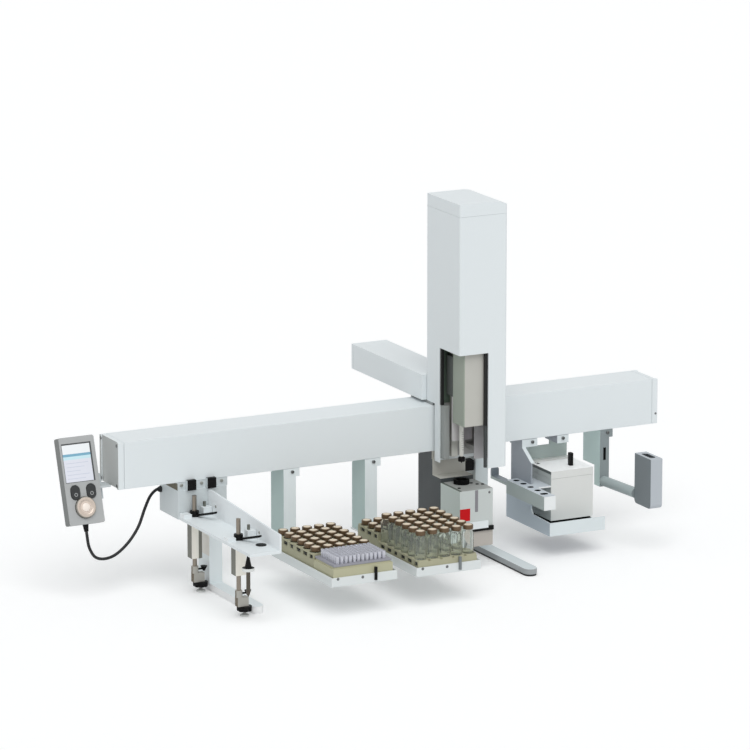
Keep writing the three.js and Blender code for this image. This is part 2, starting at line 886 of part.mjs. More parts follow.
function tray(x0, back, postX) {
  const x1 = x0 + trayWidth;
  const front = back - trayDepth;
  const rim = trayBottom + trayRim;
  const dish = block(x0, x1, front, back, trayBottom, rim);
  const room = block(x0 + trayWall, x1 - trayWall, front + trayWall, back - trayWall,
    trayBottom + trayWall, rim + cutOverrun);
  const tongue = block(postX - trayWall, postX + postWidth + trayWall, back - trayWall, postDepth,
    trayBottom, trayBottom + trayWall);
  const latch = block(x0 + latchPlace, x0 + latchPlace + latchWidth, front - latchThickness,
    front + trayWall / 2, rim + latchRise - latchHeight, rim + latchRise);
  const hinge = block(x0 + latchPlace, x0 + latchPlace + latchWidth, front, front + trayWall,
    rim - latchRise, rim);
  return joined(cut(dish, room), tongue, latch, hinge);
}

// A vial from its rack up: one that stands deep in the rack shows its cap alone.
function vial(x, y, base, top) {
  const shoulder = top - capBand;
  if (base > shoulder - vialShoulder) {
    return turnedZ(x, y, [[0, base], [capRadius, base], [capRadius, top], [0, top]], vialSides);
  }
  return turnedZ(x, y, [
    [0, base], [vialRadius, base], [vialRadius, shoulder - vialShoulder], [vialNeckRadius, shoulder],
    [capRadius, shoulder], [capRadius, top], [0, top],
  ], vialSides);
}

// A rack with its vials standing in it: the left wall has one window for each row.
function vialRack(x0, y1, rackHeight, vialHeight) {
  const x1 = x0 + footprintWidth;
  const y0 = y1 - footprintDepth;
  const z1 = rackFloor + rackHeight;
  const body = block(x0, x1, y0, y1, rackFloor, z1);
  const slots = [];
  const vials = [];
  const firstX = (x0 + x1) / 2 - vialPitchX * (vialColumns - 1) / 2;
  const firstY = (y0 + y1) / 2 - vialPitchY * (vialRows - 1) / 2;
  for (let row = 0; row < vialRows; row += 1) {
    const y = firstY + row * vialPitchY;
    slots.push(block(x0 - cutOverrun, x0 + rackWall, y - slotShift - slotLength / 2,
      y - slotShift + slotLength / 2,
      z1 - slotDrop - slotHeight, z1 - slotDrop));
    for (let column = 0; column < vialColumns; column += 1) {
      vials.push(vial(firstX + column * vialPitchX, y, z1 - rackWall, rackFloor + vialHeight));
    }
  }
  return joined(cut(body, ...slots), ...vials);
}

function plateAdapter(x0, y1) {
  const y0 = y1 - footprintDepth;
  const lower = block(x0, x0 + footprintWidth, y0, y1, rackFloor, rackFloor + adapterHeight - adapterStep);
  const upper = block(x0 + adapterStep, x0 + footprintWidth - adapterStep, y0 + adapterStep,
    y1 - adapterStep, rackFloor + adapterStep, rackFloor + adapterHeight);
  return joined(lower, upper);
}

function wellPlate(x0, y1) {
  const x1 = x0 + footprintWidth - plateInset;
  const y0 = y1 - footprintDepth + plateInset;
  const z0 = rackFloor + adapterHeight + seatGap;
  const z1 = z0 + plateHeight;
  const plate = block(x0 + plateInset, x1, y0, y1 - plateInset, z0, z1);
  const wells = [];
  const middleX = (x0 + plateInset + x1) / 2;
  const middleY = (y0 + y1 - plateInset) / 2;
  for (let row = 0; row < wellRows; row += 1) {
    for (let column = 0; column < wellColumns; column += 1) {
      const x = middleX + (column - (wellColumns - 1) / 2) * wellPitch;
      const y = middleY + (row - (wellRows - 1) / 2) * wellPitch;
      wells.push(rodZ(x, y, z1 - plateWellDepth, z1 + cutOverrun, wellRadius, wellSides));
    }
  }
  return cut(plate, ...wells);
}

function rackFinish() {
  return finish(khaki, 0.6, 0);
}

const leftTrayX = leftPostX - trayOffset;
const rightPostX = leftPostX + traySpacing;
const rightTrayX = rightPostX - trayOffset;
const leftTray = assembly(0, 0, 0);
const rightTray = assembly(0, 0, 0);
const leftRackX = leftTrayX + trayWall + rackSideGap;
const rightRackX = rightTrayX + trayWall + rackSideGap;
const leftRackBack = trayBackLeft - trayWall - seatGap;
const rightRackBack = trayBackRight - trayWall - seatGap;

piece(leftTray, "tray_post_left", trayPost(leftPostX), greyPaint());
piece(leftTray, "tray_left", tray(leftTrayX, trayBackLeft, leftPostX), coverPaint());
piece(leftTray, "rack_left_rear",
  vialRack(leftRackX, leftRackBack, shortRackHeight, shortVialHeight), rackFinish());
piece(leftTray, "rack_left_middle",
  vialRack(leftRackX, leftRackBack - rackPitch, shortRackHeight, shortVialHeight), rackFinish());
piece(leftTray, "plate_adapter", plateAdapter(leftRackX, leftRackBack - 2 * rackPitch), rackFinish());
piece(leftTray, "well_plate", wellPlate(leftRackX, leftRackBack - 2 * rackPitch),
  finish(0xc9ced0, 0.15, 0));
piece(rightTray, "tray_post_right", trayPost(rightPostX), greyPaint());
piece(rightTray, "tray_right", tray(rightTrayX, trayBackRight, rightPostX), coverPaint());
piece(rightTray, "rack_right_rear",
  vialRack(rightRackX, rightRackBack, shortRackHeight, shortVialHeight), rackFinish());
piece(rightTray, "rack_right_middle",
  vialRack(rightRackX, rightRackBack - rackPitch, tallRackHeight, tallVialHeight), rackFinish());
piece(rightTray, "rack_right_front",
  vialRack(rightRackX, rightRackBack - 2 * rackPitch, tallRackHeight, tallVialHeight), rackFinish());

// Left bracket: a box open at the back under the rail, with two square clamp knobs in front.
const left = assembly(0, 0, 0);
const bracketRight = bracketLeft + bracketWidth;
const bracketBottom = -clampDrop - bracketHeight;
const bracketBack = bracketFront + bracketDepth;

function leftBracket() {
  const outer = block(bracketLeft, bracketRight, bracketFront, bracketBack, bracketBottom, -clampDrop);
  const room = block(bracketLeft + bracketWall, bracketRight - bracketWall, bracketFront + bracketWall,
    bracketBack + cutOverrun, bracketBottom + bracketWall, -clampDrop - bracketWall);
  const knobs = [0, 1].map((index) => {
    const x = bracketLeft + clampKnobInset + index * clampKnobPitch;
    const tab = block(x, x + clampKnobSize, -clampKnobDepth, clampKnobDepth, -clampDrop - seatGap, -seatGap);
    const face = block(x, x + clampKnobSize, -clampKnobDepth, -seatGap, -clampDrop - seatGap, clampKnobRise);
    return joined(tab, face);
  });
  return joined(cut(outer, room), clampBlock(bracketLeft, bracketRight + bracketWall), ...knobs);
}

// Arm in front of the bracket: a tapering web with a flange along its foot and two sleeves.
const flangeTop = flangeBottom + flangeThickness;
const armStart = bracketFront - seatGap;
const armTip = armStart - armReach;
const frontRodY = armTip + frontRodInset;
const flangeHoleY = armTip + flangeHoleInset;
const spindleY = armTip + spindleInset;

function sleeve(y, length) {
  const half = sleeveWidth / 2;
  return block(standX - half, standX + half, y - sleeveDepth / 2, y + sleeveDepth / 2,
    flangeBottom - length, flangeTop);
}

function collarBlock(y) {
  const x0 = standX - collarOffset;
  return block(x0, x0 + collarLength, y - sleeveDepth / 2, y + sleeveDepth / 2, flangeBottom,
    flangeTop + collarHeight);
}

function frontArm() {
  const web = extrudeX(outline([
    [armTip, flangeBottom], [armStart, flangeBottom], [armStart, webRearTop], [armTip, webFrontTop],
  ]), webX, webX + webThickness);
  const flange = block(flangeLeft, webX + webThickness, armTip, armStart, flangeBottom, flangeTop);
  const body = joined(web, flange, sleeve(rearRodY, rearSleeveLength), sleeve(frontRodY, frontSleeveLength),
    collarBlock(rearRodY), collarBlock(frontRodY));
  const bores = [[rearRodY, rearSleeveLength], [frontRodY, frontSleeveLength]].map(([y, length]) =>
    rodZ(standX, y, flangeBottom - length - cutOverrun, flangeTop + collarHeight + cutOverrun,
      rodRadius + boreGap));
  const hole = rodZ(flangeHoleX, flangeHoleY, flangeBottom - cutOverrun, flangeTop + cutOverrun,
    flangeHoleRadius);
  return cut(body, ...bores, hole);
}

// Stand: a rod in its sleeve with a jaw at its foot, a clamp lever above and a screw foot below.
const footX = standX + footOffset;
const jawBottom = jawTop - jawHeight;

function standRod(y) {
  const x0 = standX - jawLeft;
  const rod = rodZ(standX, y, jawBottom + seatGap, flangeTop + rodTopRise, rodRadius);
  const jaw = block(x0, x0 + jawLength, y - jawThickness / 2, y + jawThickness / 2, jawBottom, jawTop);
  const collar = rodZ(standX, y, jawTop - seatGap, jawTop + jawCollarHeight, jawRadius);
  const bore = rodZ(footX, y, jawBottom - cutOverrun, jawTop - jawRadius, footScrewRadius + boreGap);
  return cut(joined(rod, jaw, collar), bore);
}

function clampLever(y) {
  const hubBottom = flangeTop + seatGap;
  const hubTop = hubBottom + leverHubHeight;
  const hub = rodZ(standX, y, hubBottom, hubTop, leverHubRadius);
  const profile = outline([
    [leverHubRadius / 2, hubBottom], [leverLength, hubTop + leverSlope - leverThickness],
    [leverLength, hubTop + leverSlope], [leverHubRadius / 2, hubBottom + leverThickness],
  ]);
  const bar = extrudeX(profile, -leverWidth / 2, leverWidth / 2);
  bar.rotateZ(THREE.MathUtils.degToRad(leverTurn) - Math.PI / 2).translate(standX, y, 0);
  const bore = rodZ(standX, y, hubBottom - cutOverrun, hubTop + leverSlope + cutOverrun,
    rodRadius + leverBoreGap);
  return cut(joined(hub, bar), bore);
}

function standFoot(y) {
  const floor = -floorDrop;
  const knobTop = jawBottom - seatGap;
  const pad = rodZ(footX, y, floor, floor + padHeight, padRadius);
  const knob = rodZ(footX, y, knobTop - knobHeight, knobTop, knobRadius, 24);
  const screw = rodZ(footX, y, floor + padHeight / 2, jawTop - jawRadius - boreGap, footScrewRadius, 12);
  return joined(pad, knob, screw);
}

function thumbNut(y) {
  const z = jawTop + jawCollarHeight / 2;
  const x0 = standX + jawRadius + seatGap;
  const x1 = x0 + pinLength;
  const pin = rodX(y, z, x0, x1, pinRadius, 12);
  const cone = turnedZ(x1, y, [
    [0, z - coneHeight / 2], [coneTipRadius, z - coneHeight / 2], [coneRadius, z + coneHeight / 2],
    [0, z + coneHeight / 2],
  ]);
  return joined(pin, cone);
}

function spindle() {
  const top = flangeBottom - seatGap;
  const coneTop = top - spindleNeck;
  const ringTop = coneTop - spindleConeHeight;
  return turnedZ(spindleX, spindleY, [
    [0, spindleBottom], [spindleNeckRadius / 2, spindleBottom], [spindleRadius, spindleBottom + spindleTip],
    [spindleRadius, ringTop - spindleRingHeight], [spindleRingRadius, ringTop - spindleRingHeight],
    [spindleRingRadius, ringTop], [spindleConeRadius, ringTop], [spindleNeckRadius, coneTop],
    [spindleNeckRadius, top], [0, top],
  ]);
}

// A leg: a post under the rail or a bracket, standing on a long flat foot with a rounded front end.
function leg(x0, y0, top) {
  const x1 = x0 + legWidth;
  const back = y0 + legDepth;
  const floor = -floorDrop;
  const sole = roundedOutline(x0, x1, footFront, back, legWidth / 2, legWidth / 2, footEdge, footEdge);
  const pad = roundedOutline(x0 + footPadInset, x1 - footPadInset, footFront + footPadInset,
    back - footPadInset, legWidth / 2 - footPadInset, legWidth / 2 - footPadInset, footEdge, footEdge);
  return joined(block(x0, x1, y0, back, floor + footPadHeight + footHeight / 2, top),
    extrudeZ(sole, floor + footPadHeight, floor + footPadHeight + footHeight, 6),
    extrudeZ(pad, floor, floor + footPadHeight + seatGap, 6));
}

const rearStand = assembly(0, 0, 0, left);
const frontStand = assembly(0, 0, 0, left);

piece(left, "left_bracket", leftBracket(), greyPaint());
piece(left, "front_arm", frontArm(), coverPaint());
piece(left, "left_leg", leg(legLeftX, legLeftFront, bracketBottom - seatGap), greyPaint());
piece(rearStand, "rear_stand_rod", standRod(rearRodY), bareSteel());
piece(rearStand, "rear_stand_lever", clampLever(rearRodY), blackMoulding());
piece(rearStand, "rear_stand_foot", standFoot(rearRodY), blackMoulding());
piece(rearStand, "rear_thumb_nut", thumbNut(rearRodY), blackMoulding());
piece(frontStand, "front_stand_rod", standRod(frontRodY), bareSteel());
piece(frontStand, "front_stand_lever", clampLever(frontRodY), blackMoulding());
piece(frontStand, "front_stand_foot", standFoot(frontRodY), blackMoulding());
piece(frontStand, "front_thumb_nut", thumbNut(frontRodY), blackMoulding());
piece(left, "locating_spindle", spindle(), darkPaint());

// Wash station: a tall block with a deep well, on a dark channel under the rail.
const centre = assembly(0, 0, 0);
const stationBack = stationFront + stationDepth;
const stationBottom = stationTop - stationHeight;
const frameFront = stationBack + seatGap;
const wellX = headLeft + needleInset;
const stationX = wellX - wellInset;
const shoulderZ = -clampDrop - frameUpperDrop;

function stationFrame() {
  const x1 = stationX + stationWidth;
  const section = outline([
    [frameFront, stationBottom], [frameBack, stationBottom], [frameBack, -clampDrop],
    [bracketFront, -clampDrop], [bracketFront, shoulderZ], [frameFront, shoulderZ],
  ]);
  const lower = block(stationX + frameWall, x1 - frameWall, frameFront + frameWall, frameBack + cutOverrun,
    stationBottom - cutOverrun, shoulderZ - frameWall);
  const upper = block(stationX + frameWall, x1 - frameWall, bracketFront + frameWall,
    frameBack + cutOverrun, shoulderZ - frameWall * 2, -clampDrop - frameWall);
  return joined(cut(extrudeX(section, stationX, x1), lower, upper), clampBlock(stationX, x1 + frameWall));
}

function washModule() {
  const x1 = stationX + stationWidth;
  const body = block(stationX, x1, stationFront, stationBack, stationBottom, stationTop);
  const rim = rodZ(wellX, toolAxisY, stationTop - funnelHeight, stationTop + funnelHeight, funnelRadius, 24);
  const shelf = block(stationX + funnelRadius, x1, stationFront - shelfDepth, stationFront + shelfDepth,
    stationTop - shelfDrop - shelfHeight, stationTop - shelfDrop);
  const bore = rodZ(wellX, toolAxisY, stationTop - wellDepth, stationTop + funnelHeight + cutOverrun, wellBore,
    24);
  return cut(joined(body, rim, shelf), bore);
}

piece(centre, "station_frame", stationFrame(), darkPaint());
piece(centre, "wash_module", washModule(), coverPaint());
piece(centre, "centre_leg",
  joined(leg(legRightX, legRightFront, -clampDrop), clampBlock(legRightX, legRightX + clampWidth)),
  greyPaint());

// Oven holder: a left wall that curves down into a low front part, a floor with a front lip, a low
// right wall, and a back panel that hangs from a clamp at each end.
const right = assembly(0, 0, 0);
const holderX = railLength - holderInset;
const holderRight = holderX + holderWidth;
const lipTop = holderBottom + holderLipHeight;
const panelFront = holderUpperBack - holderWall;

function holderLeftWall() {
  return extrudeX(outline([
    [holderFront, holderBottom], [holderBack, holderBottom], [holderBack, holderUpperBottom],
    [holderUpperBack, holderUpperBottom], [holderUpperBack, -clampDrop], [0, -clampDrop],
    [holderNose, holderShoulder], [holderNose, holderCurveTop],
    [holderNose - holderCurveReach, lipTop + holderCurveRise], [holderFront, lipTop],
  ]), holderX, holderX + holderWall);
}

function ovenHolder() {
  const floorTop = holderBottom + holderWall;
  const floor = block(holderX, holderRight, holderFront, holderBack, holderBottom, floorTop);
  const lip = block(holderX, holderRight, holderFront, holderFront + holderWall, holderBottom, lipTop);
  const rightWall = block(holderRight - holderWall, holderRight, holderFront, holderUpperBack, holderBottom,
    holderBottom + holderRightHeight);
  const panel = block(ovenX, holderRight, panelFront, holderUpperBack, holderBottom, holderPanelTop);
  const tab = block(holderRight - holderTabInset, holderRight, panelFront, holderUpperBack,
    holderPanelTop - holderWall, -clampDrop);
  const strip = holderWall * 1.5;
  const flange = extrudeX(outline([
    [0, -clampDrop], [holderNose, holderShoulder], [holderNose + strip, holderShoulder], [strip, -clampDrop],
  ]), holderX, holderX + holderFlange);
  const clampEnd = holderRight - holderClampInset;
  return joined(holderLeftWall(), floor, lip, rightWall, panel, tab, flange,
    clampBlock(holderX, holderX + clampWidth), clampBlock(clampEnd - holderClampWidth, clampEnd));
}

// Tool park: a bar with five holes outside the left wall, with a ledge that passes in front of the
// wall to the oven, and a thin tail at the back that ends in an upturned hook.
function parkBar() {
  const x1 = holderX - seatGap;
  const x0 = x1 - parkWidth;
  const bottom = parkTop - parkHeight;
  const ledgeLow = parkTop - parkLedgeThickness;
  const inner = holderX + holderWall + seatGap;
  const hookCorner = parkTailWidth / 2 - seatGap;
  const hookTop = parkTop - parkTailThickness + parkHookHeight;
  const bar = joined(
    block(x0, x1, parkFront, parkBack, bottom, parkTop),
    block(x1 - parkWidth / 2, ovenX - seatGap, ovenFront, holderNose - seatGap, ledgeLow, parkTop),
    block(inner, ovenX - seatGap, holderNose - parkLedgeThickness, parkLedgeBack, ledgeLow, parkTop),
    block(x0, x0 + parkTailWidth, parkBack - parkTailThickness, parkTailBack, parkTop - parkTailThickness * 2,
      parkTop - parkTailThickness),
    extrudeY(evenOutline(parkTop - parkTailThickness * 2, hookTop, x0, x0 + parkTailWidth, hookCorner),
      parkTailBack - parkHookThickness, parkTailBack, 5));
  const slots = [];
  for (let index = 0; index < parkSlots; index += 1) {
    slots.push(rodZ(x0 + parkSlotInset, parkSlotFirst + index * parkSlotPitch, parkTop - parkSlotDepth,
      parkTop + cutOverrun, parkSlotRadius));
  }
  const endX = x0 + parkSlotInset - parkEndSlotReach;
  slots.push(rodZ(endX, parkSlotFirst, parkTop - parkSlotDepth, parkTop + cutOverrun, parkSlotRadius));
  return cut(bar, ...slots);
}

// Oven: a box on a set-in plinth, with a fixed rear cover and a lid hinged in front of it on a pin
// between two lugs.
const ovenX = holderX + holderWall + seatGap + ovenSetIn;
const ovenBack = ovenFront + ovenDepth;
const ovenRear = panelFront - seatGap;
const ovenRight = ovenX + ovenWidth;
const ovenBottom = holderBottom + holderWall + seatGap;
const lidBottom = ovenTop + seatGap;
const lidTop = lidBottom + lidHeight;
const hingeY = ovenBack + hingeSet;
const hingeZ = (lidBottom + lidTop) / 2;
const lugInner = (ovenWidth - hingePinLength) / 2;
const lidKnobX = ovenX + lidKnobInset;
const rearCoverStart = hingeY + hingeRadius * 2 + slideGap;

function ovenBox() {
  const body = joined(
    block(ovenX, ovenRight, ovenFront, ovenBack, ovenBottom + plinthHeight, ovenTop),
    block(ovenX, ovenRight, ovenBack - hingeSet, ovenRear, ovenBottom + plinthHeight, ovenTop - lugDepth),
    block(ovenX, ovenRight, rearCoverStart, ovenRear, ovenTop - lugDepth * 2, lidTop),
    block(ovenX + plinthInset, ovenRight - plinthInset, ovenFront + plinthInset, ovenRear - plinthInset,
      ovenBottom, ovenBottom + plinthHeight + holderWall));
  const lugs = [ovenX + lugInner - lugWidth, ovenRight - lugInner].map((x) => {
    const upright = block(x, x + lugWidth, ovenBack + seatGap, rearCoverStart + seatGap, ovenTop - lugDepth,
      hingeZ + hingeSet);
    const root = block(x, x + lugWidth, ovenBack - hingeSet, rearCoverStart + seatGap, ovenTop - lugDepth,
      ovenTop - lugDepth / 2);
    return joined(upright, root);
  });
  const pin = rodX(hingeY, hingeZ, ovenX + lugInner - lugWidth / 2, ovenRight - lugInner + lugWidth / 2,
    hingeRadius);
  const room = block(ovenX + ovenWall, ovenRight - ovenWall, ovenFront + ovenWall, ovenBack - ovenWall,
    ovenTop - ovenRoomDepth, ovenTop + cutOverrun);
  return joined(cut(body, room), ...lugs, pin);
}

function ovenLid() {
  const plate = block(ovenX, ovenRight, ovenFront, ovenBack, lidBottom, lidTop);
  const notches = [ovenX + lugInner - lugWidth, ovenRight - lugInner].map((x) =>
    block(x - slideGap, x + lugWidth + slideGap, ovenBack - lidNotch, ovenBack + cutOverrun,
      lidBottom - cutOverrun, lidTop + cutOverrun));
  const barrelStart = ovenX + lugInner + slideGap;
  const barrelEnd = ovenRight - lugInner - slideGap;
  const barrel = rodX(hingeY, hingeZ, barrelStart, barrelEnd, hingeRadius * 2);
  const web = block(barrelStart, barrelEnd, ovenBack - hingeRadius, hingeY, hingeZ - hingeRadius,
    hingeZ + hingeRadius);
  const handle = block(lidKnobX - lidKnobWidth / 2, lidKnobX + lidKnobWidth / 2,
    lidKnobY - lidKnobDepth / 2, lidKnobY + lidKnobDepth / 2, lidTop - seatGap, lidTop + lidKnobHeight);
  const bore = rodX(hingeY, hingeZ, barrelStart - cutOverrun, barrelEnd + cutOverrun, hingeRadius + boreGap);
  return cut(joined(cut(plate, ...notches), barrel, web, handle), bore);
}

piece(right, "oven_holder", ovenHolder(), finish(parkBlue, 0.5, 0));
piece(right, "tool_park", parkBar(), coverPaint());
piece(right, "oven_box", ovenBox(), finish(0xcdcfcb, 0.5, 0));
piece(right, "oven_lid", ovenLid(), finish(0xd8dad6, 0.5, 0));

// Reader: an upright box on a round arm from a stepped post.
const reader = assembly(0, 0, 0);
const readerPostX = railLength - readerPostInset;
const readerX = readerPostX + readerShift;
const readerBack = readerFront + readerDepth;
const readerStep = readerPostBottom - readerFootHeight;

function readerPost() {
  const x1 = readerPostX + readerPostWidth;
  const section = outline([
    [0, -readerPostBottom], [readerLowerDepth, -readerPostBottom], [readerLowerDepth, -readerStep],
    [readerPostDepth, -readerStep], [readerPostDepth, -clampDrop], [0, -clampDrop],
  ]);
  const post = extrudeX(section, readerPostX, x1);
  const middle = (readerPostX + x1) / 2;
  const slot = block(middle - postSlotWidth / 2, middle + postSlotWidth / 2, -cutOverrun, postWall,
    postSlotTop - postSlotHeight, postSlotTop);
  const reach = -readerBack + readerArmRadius;
  const tube = rodY(0, 0, -reach, postWall, readerArmRadius);
  tube.rotateZ(Math.atan2(readerArmShift, -readerBack)).translate(middle, 0, readerArmHeight);
  const beyond = block(readerPostX - cutOverrun, readerX + readerWidth + cutOverrun,
    readerFront - cutOverrun, readerBack + seatGap, -floorDrop, 0);
  return cut(joined(cut(post, slot), clampBlock(readerPostX, x1 + clampWidth - postWidth), tube), beyond);
}

function readerBox() {
  const x1 = readerX + readerWidth;
  const low = readerTop - readerHeight;
  const side = new THREE.Shape();
  const edge = readerEdge;
  side.moveTo(readerFront + edge, low);
  side.lineTo(readerBack - edge, low);
  side.absarc(readerBack - edge, low + edge, edge, -Math.PI / 2, 0, false);
  side.lineTo(readerBack, readerTop);
  side.lineTo(readerFront, readerTop);
  side.lineTo(readerFront, low + edge);
  side.absarc(readerFront + edge, low + edge, edge, Math.PI, Math.PI * 1.5, false);
  const body = extrudeX(side, readerX, x1, 5);
  const middleX = (readerX + x1) / 2;
  const middleY = (readerFront + readerBack) / 2;
  const half = readerSlotWidth / 2;
  const slot = extrudeZ(evenOutline(middleX - half, middleX + half, middleY - readerSlotLength / 2,
    middleY + readerSlotLength / 2, half), readerTop - readerSlotDepth, readerTop + cutOverrun, 6);
  return cut(body, slot);
}

piece(reader, "reader_post", readerPost(), darkPaint());
piece(reader, "reader_box", readerBox(), greyPaint());

// Hand terminal: it leans back in a cradle beside the left end cap. In its group, X runs across it,
// Y into its back and Z up its face, from the top edge.
const lean = -THREE.MathUtils.degToRad(terminalLean);
const terminal = assembly(terminalLeft, terminalTopY, terminalTopZ);
terminal.rotation.x = lean;
const cradle = assembly(0, 0, 0);
const wheelX = terminalWidth / 2;
const reliefBottom = -terminalLength - reliefLength;

function facePocket(z0, z1, x0, x1, depth, radius) {
  return extrudeY(evenOutline(z0, z1, x0, x1, radius), -cutOverrun, depth, 4);
}

function keyPill(x, radius, y0, y1) {
  const high = -keyDrop + keySpread / 2;
  const low = -keyDrop - keySpread / 2;
  return extrudeY(evenOutline(low - radius, high + radius, x - radius, x + radius, radius - seatGap), y0, y1, 5);
}

function terminalBody() {
  const body = extrudeY(evenOutline(-terminalLength, 0, 0, terminalWidth, terminalEdge), 0, terminalThickness, 4);
  const screen = facePocket(-screenDrop - screenHeight, -screenDrop, screenLeft, screenLeft + screenWidth,
    screenRecess, screenEdge);
  const wheelRoom = rodY(wheelX, -wheelDrop, -cutOverrun, wheelSink + seatGap, wheelRadius + slideGap, 24);
  const keyRooms = [0, 1].map((index) => keyPill(keyInset + index * keyPitch, keyLobe + slideGap,
    -cutOverrun, keySink + keyTravel));
  const relief = turnedZ(wheelX, reliefInset, [
    [0, reliefBottom], [reliefTipRadius, reliefBottom], [reliefRadius, -terminalLength + seatGap],
    [0, -terminalLength + seatGap],
  ], 12);
  return cut(joined(body, relief), screen, wheelRoom, ...keyRooms);
}

function terminalWheel() {
  const rim = rodY(wheelX, -wheelDrop, -wheelProud, wheelSink, wheelRadius, 24);
  const dish = rodY(wheelX, -wheelDrop, -wheelProud - cutOverrun, -wheelProud + wheelDishDepth,
    wheelDishRadius, 24);
  return cut(rim, dish);
}

function terminalCradle() {
  const plate = block(terminalLeft + cradleInset, -cradleOverlap, terminalThickness + seatGap,
    terminalThickness + seatGap + cradleThickness, -cradleDrop - cradleHeight, -cradleDrop);
  plate.rotateX(lean).translate(0, terminalTopY, terminalTopZ);
  const bar = block(terminalLeft + terminalWidth + slideGap, -seatGap, holderBarFront,
    holderBarFront + holderBarDepth, holderBarBottom, holderBarBottom + holderBarThickness);
  return joined(plate, bar);
}

piece(terminal, "terminal_body", terminalBody(), finish(terminalGrey, 0.45, 0));
piece(terminal, "terminal_wheel", terminalWheel(), finish(0x8f9190, 0.35, 0));
piece(terminal, "terminal_key_left", keyPill(keyInset, keyLobe, -keyProud, keySink), finish(0x6f7372, 0.5, 0));
piece(terminal, "terminal_key_right",
  keyPill(keyInset + keyPitch, keyLobe, -keyProud, keySink), finish(0x6f7372, 0.5, 0));
piece(cradle, "terminal_cradle", terminalCradle(), greyPaint());

// Cord from the terminal's strain relief down and back up to the left bracket. Its points keep to
// the photograph, and its two ends follow the pieces that they meet.
const cordStart = new THREE.Vector3(wheelX, reliefInset, reliefBottom - seatGap);
const cordRise = new THREE.Vector3(wheelX, reliefInset, reliefBottom - seatGap - cordLead);
cordStart.applyEuler(new THREE.Euler(lean, 0, 0)).add(terminal.position);
cordRise.applyEuler(new THREE.Euler(lean, 0, 0)).add(terminal.position);
const cordEnd = new THREE.Vector3(bracketLeft - seatGap, bracketBack - cordInset, bracketBottom * 0.4);
const cordTurn = new THREE.Vector3(cordEnd.x - cordLead, cordEnd.y, cordEnd.z);
const cordRoute = [
  [-59, 12, -106], [-52, 15, -121], [-42, 20, -133], [-28, 26, -140], [-12, 32, -142.5], [5, 38, -141],
  [23, 44, -134], [47, 52, -118], [68, 58, -94], [86, 66, -61], [101, 72, -39],
];

function cord() {
  const route = cordRoute.map(([x, y, z]) => new THREE.Vector3(x, y, z));
  const points = [cordStart, cordRise, ...route, cordTurn, cordEnd];
  const path = new THREE.CatmullRomCurve3(points, false, "centripetal");
  const ring = Array.from({ length: cordSides }, (unused, side) => {
    const angle = side / cordSides * Math.PI * 2;
    return [Math.cos(angle) * cordDiameter / 2, Math.sin(angle) * cordDiameter / 2];
  });
  return new THREE.ExtrudeGeometry(outline(ring), { steps: cordSteps, extrudePath: path, bevelEnabled: false });
}

piece(cradle, "terminal_cord", cord(), finish(0x151617, 0.6, 0));

// Put the origin on the floor, under the middle of the machine.
machine.updateMatrixWorld(true);
const bounds = new THREE.Box3();
machine.traverse((item) => {
  if (item.isMesh && item.name !== "terminal_cord") {
    bounds.expandByObject(item, true);
  }
});
machine.position.set(-(bounds.min.x + bounds.max.x) / 2, -(bounds.min.y + bounds.max.y) / 2, -bounds.min.z);
machine.updateMatrixWorld(true);

export default machine;
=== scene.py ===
"""Looks of the bench autosampler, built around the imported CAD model.

Places are given in millimetres from the rail's left, front, bottom corner, as in the CAD source:
X runs along the rail, Y to the back and Z up. rail_point turns them into Blender's metres.
"""

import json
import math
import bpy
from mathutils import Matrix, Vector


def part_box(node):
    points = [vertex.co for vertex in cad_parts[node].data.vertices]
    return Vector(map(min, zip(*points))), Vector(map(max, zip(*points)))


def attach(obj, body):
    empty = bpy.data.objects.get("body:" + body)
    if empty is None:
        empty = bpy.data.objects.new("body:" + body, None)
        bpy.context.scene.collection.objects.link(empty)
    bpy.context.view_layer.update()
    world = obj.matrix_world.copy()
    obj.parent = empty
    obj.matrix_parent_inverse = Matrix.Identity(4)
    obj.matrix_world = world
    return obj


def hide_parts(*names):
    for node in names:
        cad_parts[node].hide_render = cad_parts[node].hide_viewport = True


bl_info = {
    "name": "Bench autosampler looks",
    "version": (1, 0, 0),
    "blender": (4, 5, 0),
    "location": "3D View > Sidebar > Autosampler",
    "description": "Dresses the rail, tower, trays, stands, modules and hand terminal of a bench autosampler",
    "category": "Object",
}

import bmesh
import bpy
from mathutils import Matrix, Vector

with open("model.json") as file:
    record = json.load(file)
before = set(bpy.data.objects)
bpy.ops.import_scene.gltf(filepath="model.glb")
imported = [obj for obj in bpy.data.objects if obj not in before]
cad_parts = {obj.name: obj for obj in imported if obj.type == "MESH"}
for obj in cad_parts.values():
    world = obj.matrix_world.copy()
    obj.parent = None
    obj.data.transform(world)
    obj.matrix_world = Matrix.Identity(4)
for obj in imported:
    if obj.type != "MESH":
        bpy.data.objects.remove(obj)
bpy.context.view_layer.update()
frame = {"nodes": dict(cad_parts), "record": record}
NODES = frame["nodes"]
BODY_OF = {n: body for body, members in frame["record"]["behaviour"]["bodies"].items() for n in members}
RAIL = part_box("rail_end_cap_left")[0]
MM = 0.001
LEFT, RIGHT, FRONT, UP = (-1, 0, 0), (1, 0, 0), (0, -1, 0), (0, 0, 1)

# The camera that sees the autosampler as the photograph does.
CAMERA_PLACE = (-4081.6, -9094.5, 2571.2)
CAMERA_TILT = math.radians(90 - 13.24)
CAMERA_TURN = math.radians(-27.02)
KEY_DIRECTION = (-0.12, -0.36, 0.52)
FLOOR_REACH = 40.0

# Below this angle between two faces, the edge between them is smooth.
SMOOTH_ANGLE = math.radians(32)
# Above this angle, an edge is rounded.
EDGE_ANGLE = math.radians(35)
# Triangles of a CAD node that lie flatter than this are one face.
FLAT_ANGLE = math.radians(0.3)


